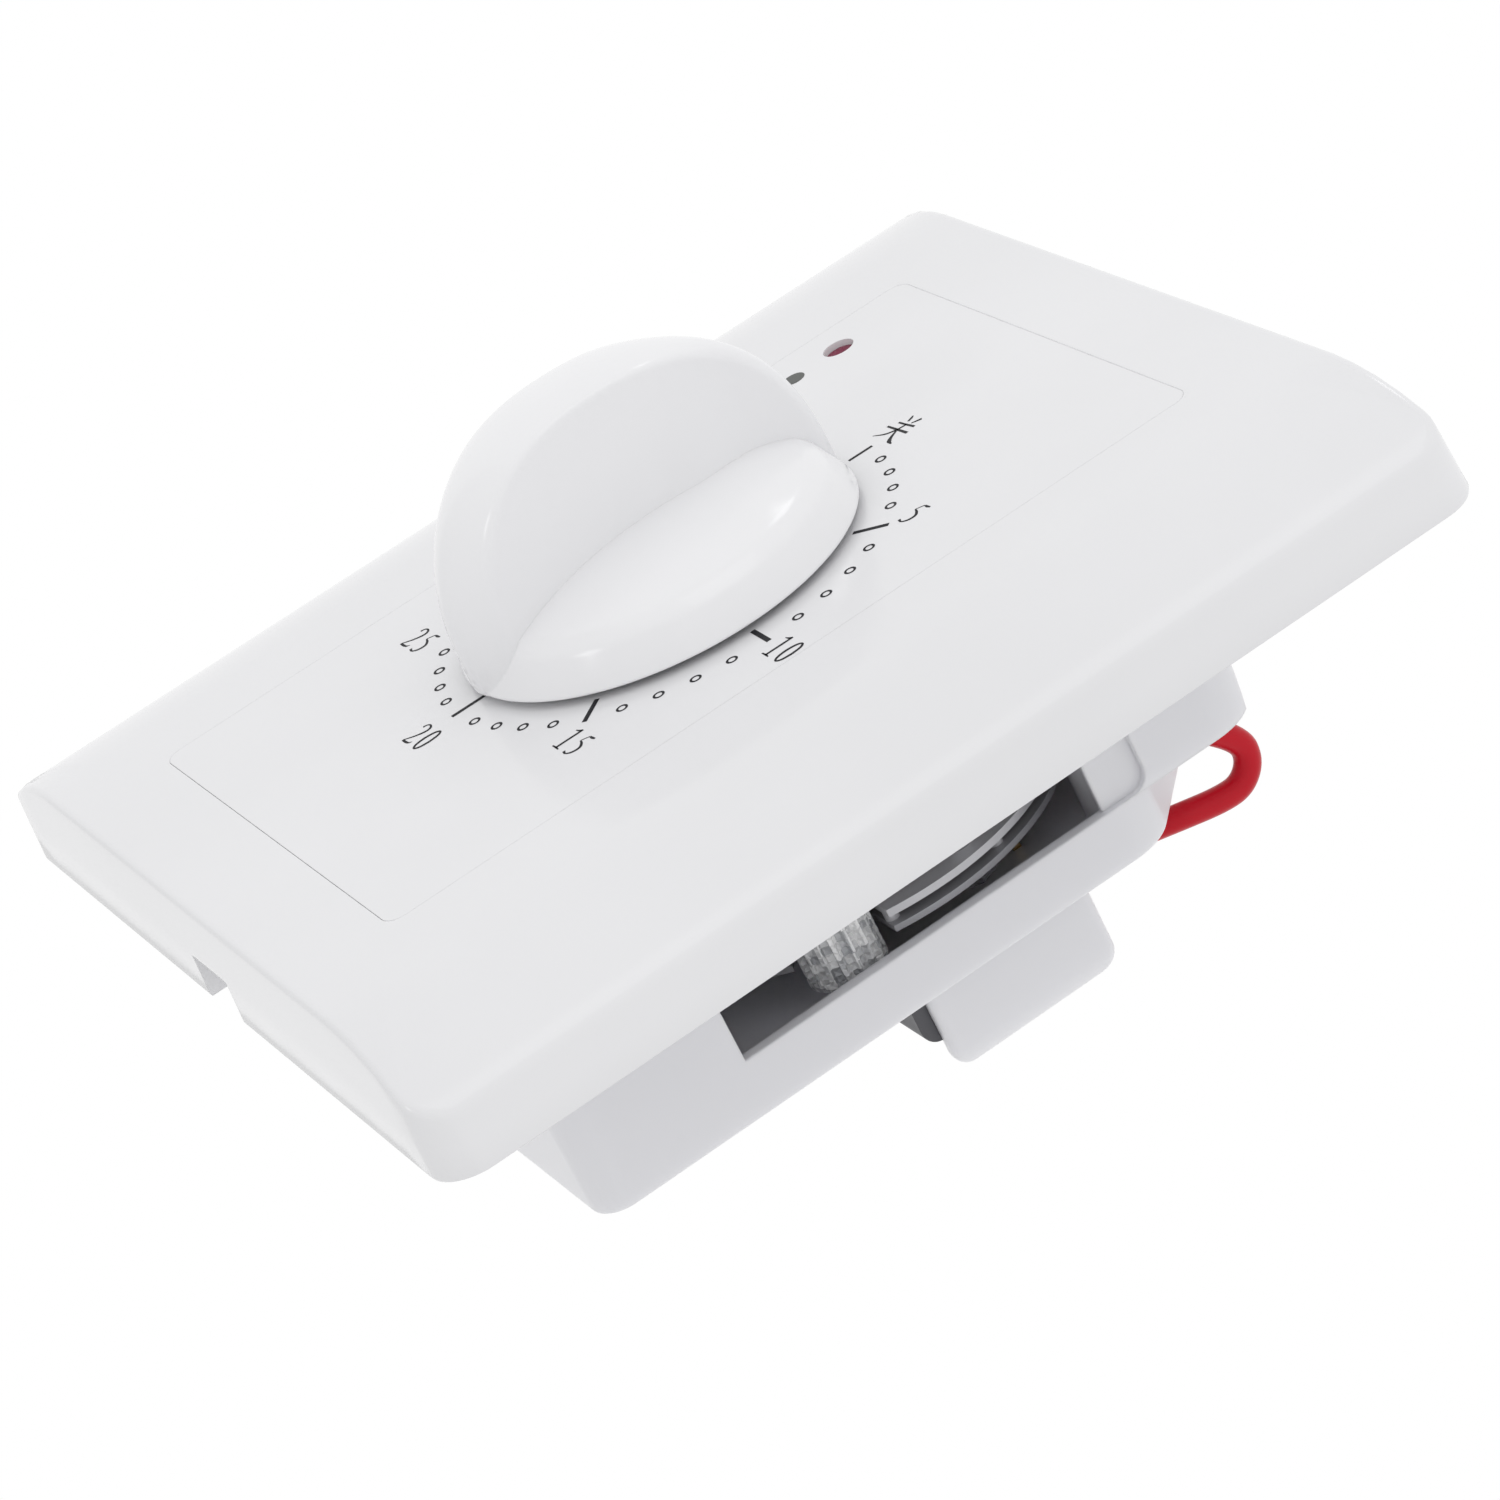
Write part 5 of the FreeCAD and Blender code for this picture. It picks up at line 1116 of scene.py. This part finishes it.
def softbox(name, place, size, power):
    """Area lamp aimed at the middle of the frame."""
    light = bpy.data.lights.new(name, "AREA")
    light.shape = "RECTANGLE"
    light.size, light.size_y = size
    light.energy = power
    lamp = linked(name, light)
    lamp.location = place
    lamp.rotation_mode = "QUATERNION"
    lamp.rotation_quaternion = (-Vector(place)).to_track_quat("-Z", "Y")


def make_camera(stage):
    """Camera at its place, with its look as given and its right made square to it."""
    camera = linked("camera", bpy.data.cameras.new("camera"))
    look = Vector(stage.look).normalized()
    right = Vector(stage.right)
    right = (right - look * right.dot(look)).normalized()
    axes = Matrix((right, right.cross(look), -look)).transposed()
    camera.matrix_world = Matrix.Translation(Vector(stage.place)) @ axes.to_4x4()
    camera.data.lens = stage.lens
    camera.data.shift_x = stage.shift_x
    camera.data.shift_y = stage.shift_y
    camera.data.clip_start = NEAR_CLIP
    bpy.context.scene.camera = camera


class TimerStage(bpy.types.Operator):
    """Set the camera, the floor and the soft light"""
    bl_idname = "object.timer_stage"
    bl_label = "Stage"

    def execute(self, context):
        stage = context.scene.timer_stage
        make_camera(stage)
        make_world(stage)
        make_floor(stage)
        softbox("key", stage.key_place, KEY_SIZE, stage.key)
        softbox("side", stage.side_place, SIDE_SIZE, stage.side)
        softbox("front", stage.front_place, FRONT_SIZE, stage.front)
        context.scene.view_settings.view_transform = "Standard"
        return {"FINISHED"}


class TimerPanel(bpy.types.Panel):
    """Lists the steps that build the timer"""
    bl_idname = "VIEW3D_PT_timer"
    bl_label = "Countdown timer"
    bl_space_type = "VIEW_3D"
    bl_region_type = "UI"
    bl_category = "Timer"

    def draw(self, context):
        for step in STEPS:
            self.layout.operator(step.bl_idname)
        for name, _ in SETTINGS:
            group = getattr(context.scene, name)
            box = self.layout.box()
            box.label(text=name.replace("timer_", "").capitalize())
            for key in group.__annotations__:
                box.prop(group, key)


SETTINGS = (
    ("timer_plate", PlateSettings), ("timer_dial", DialSettings), ("timer_knob", KnobSettings),
    ("timer_finish", FinishSettings), ("timer_stage", StageSettings),
)
STEPS = (
    TimerStage, TimerLead, TimerCover, TimerDial, TimerIndicator, TimerKnob, TimerHousing, TimerTerminals,
    TimerFrame, TimerClockwork, TimerSwitch,
)


def register():
    for name, group in SETTINGS:
        bpy.utils.register_class(group)
        setattr(bpy.types.Scene, name, bpy.props.PointerProperty(type=group))
    for step in STEPS:
        bpy.utils.register_class(step)
    bpy.utils.register_class(TimerPanel)


def unregister():
    bpy.utils.unregister_class(TimerPanel)
    for step in reversed(STEPS):
        bpy.utils.unregister_class(step)
    for name, group in reversed(SETTINGS):
        delattr(bpy.types.Scene, name)
        bpy.utils.unregister_class(group)


def main():
    register()
    for step in STEPS:
        area, name = step.bl_idname.split(".")
        getattr(getattr(bpy.ops, area), name)()


if __name__ == "__main__":
    main()
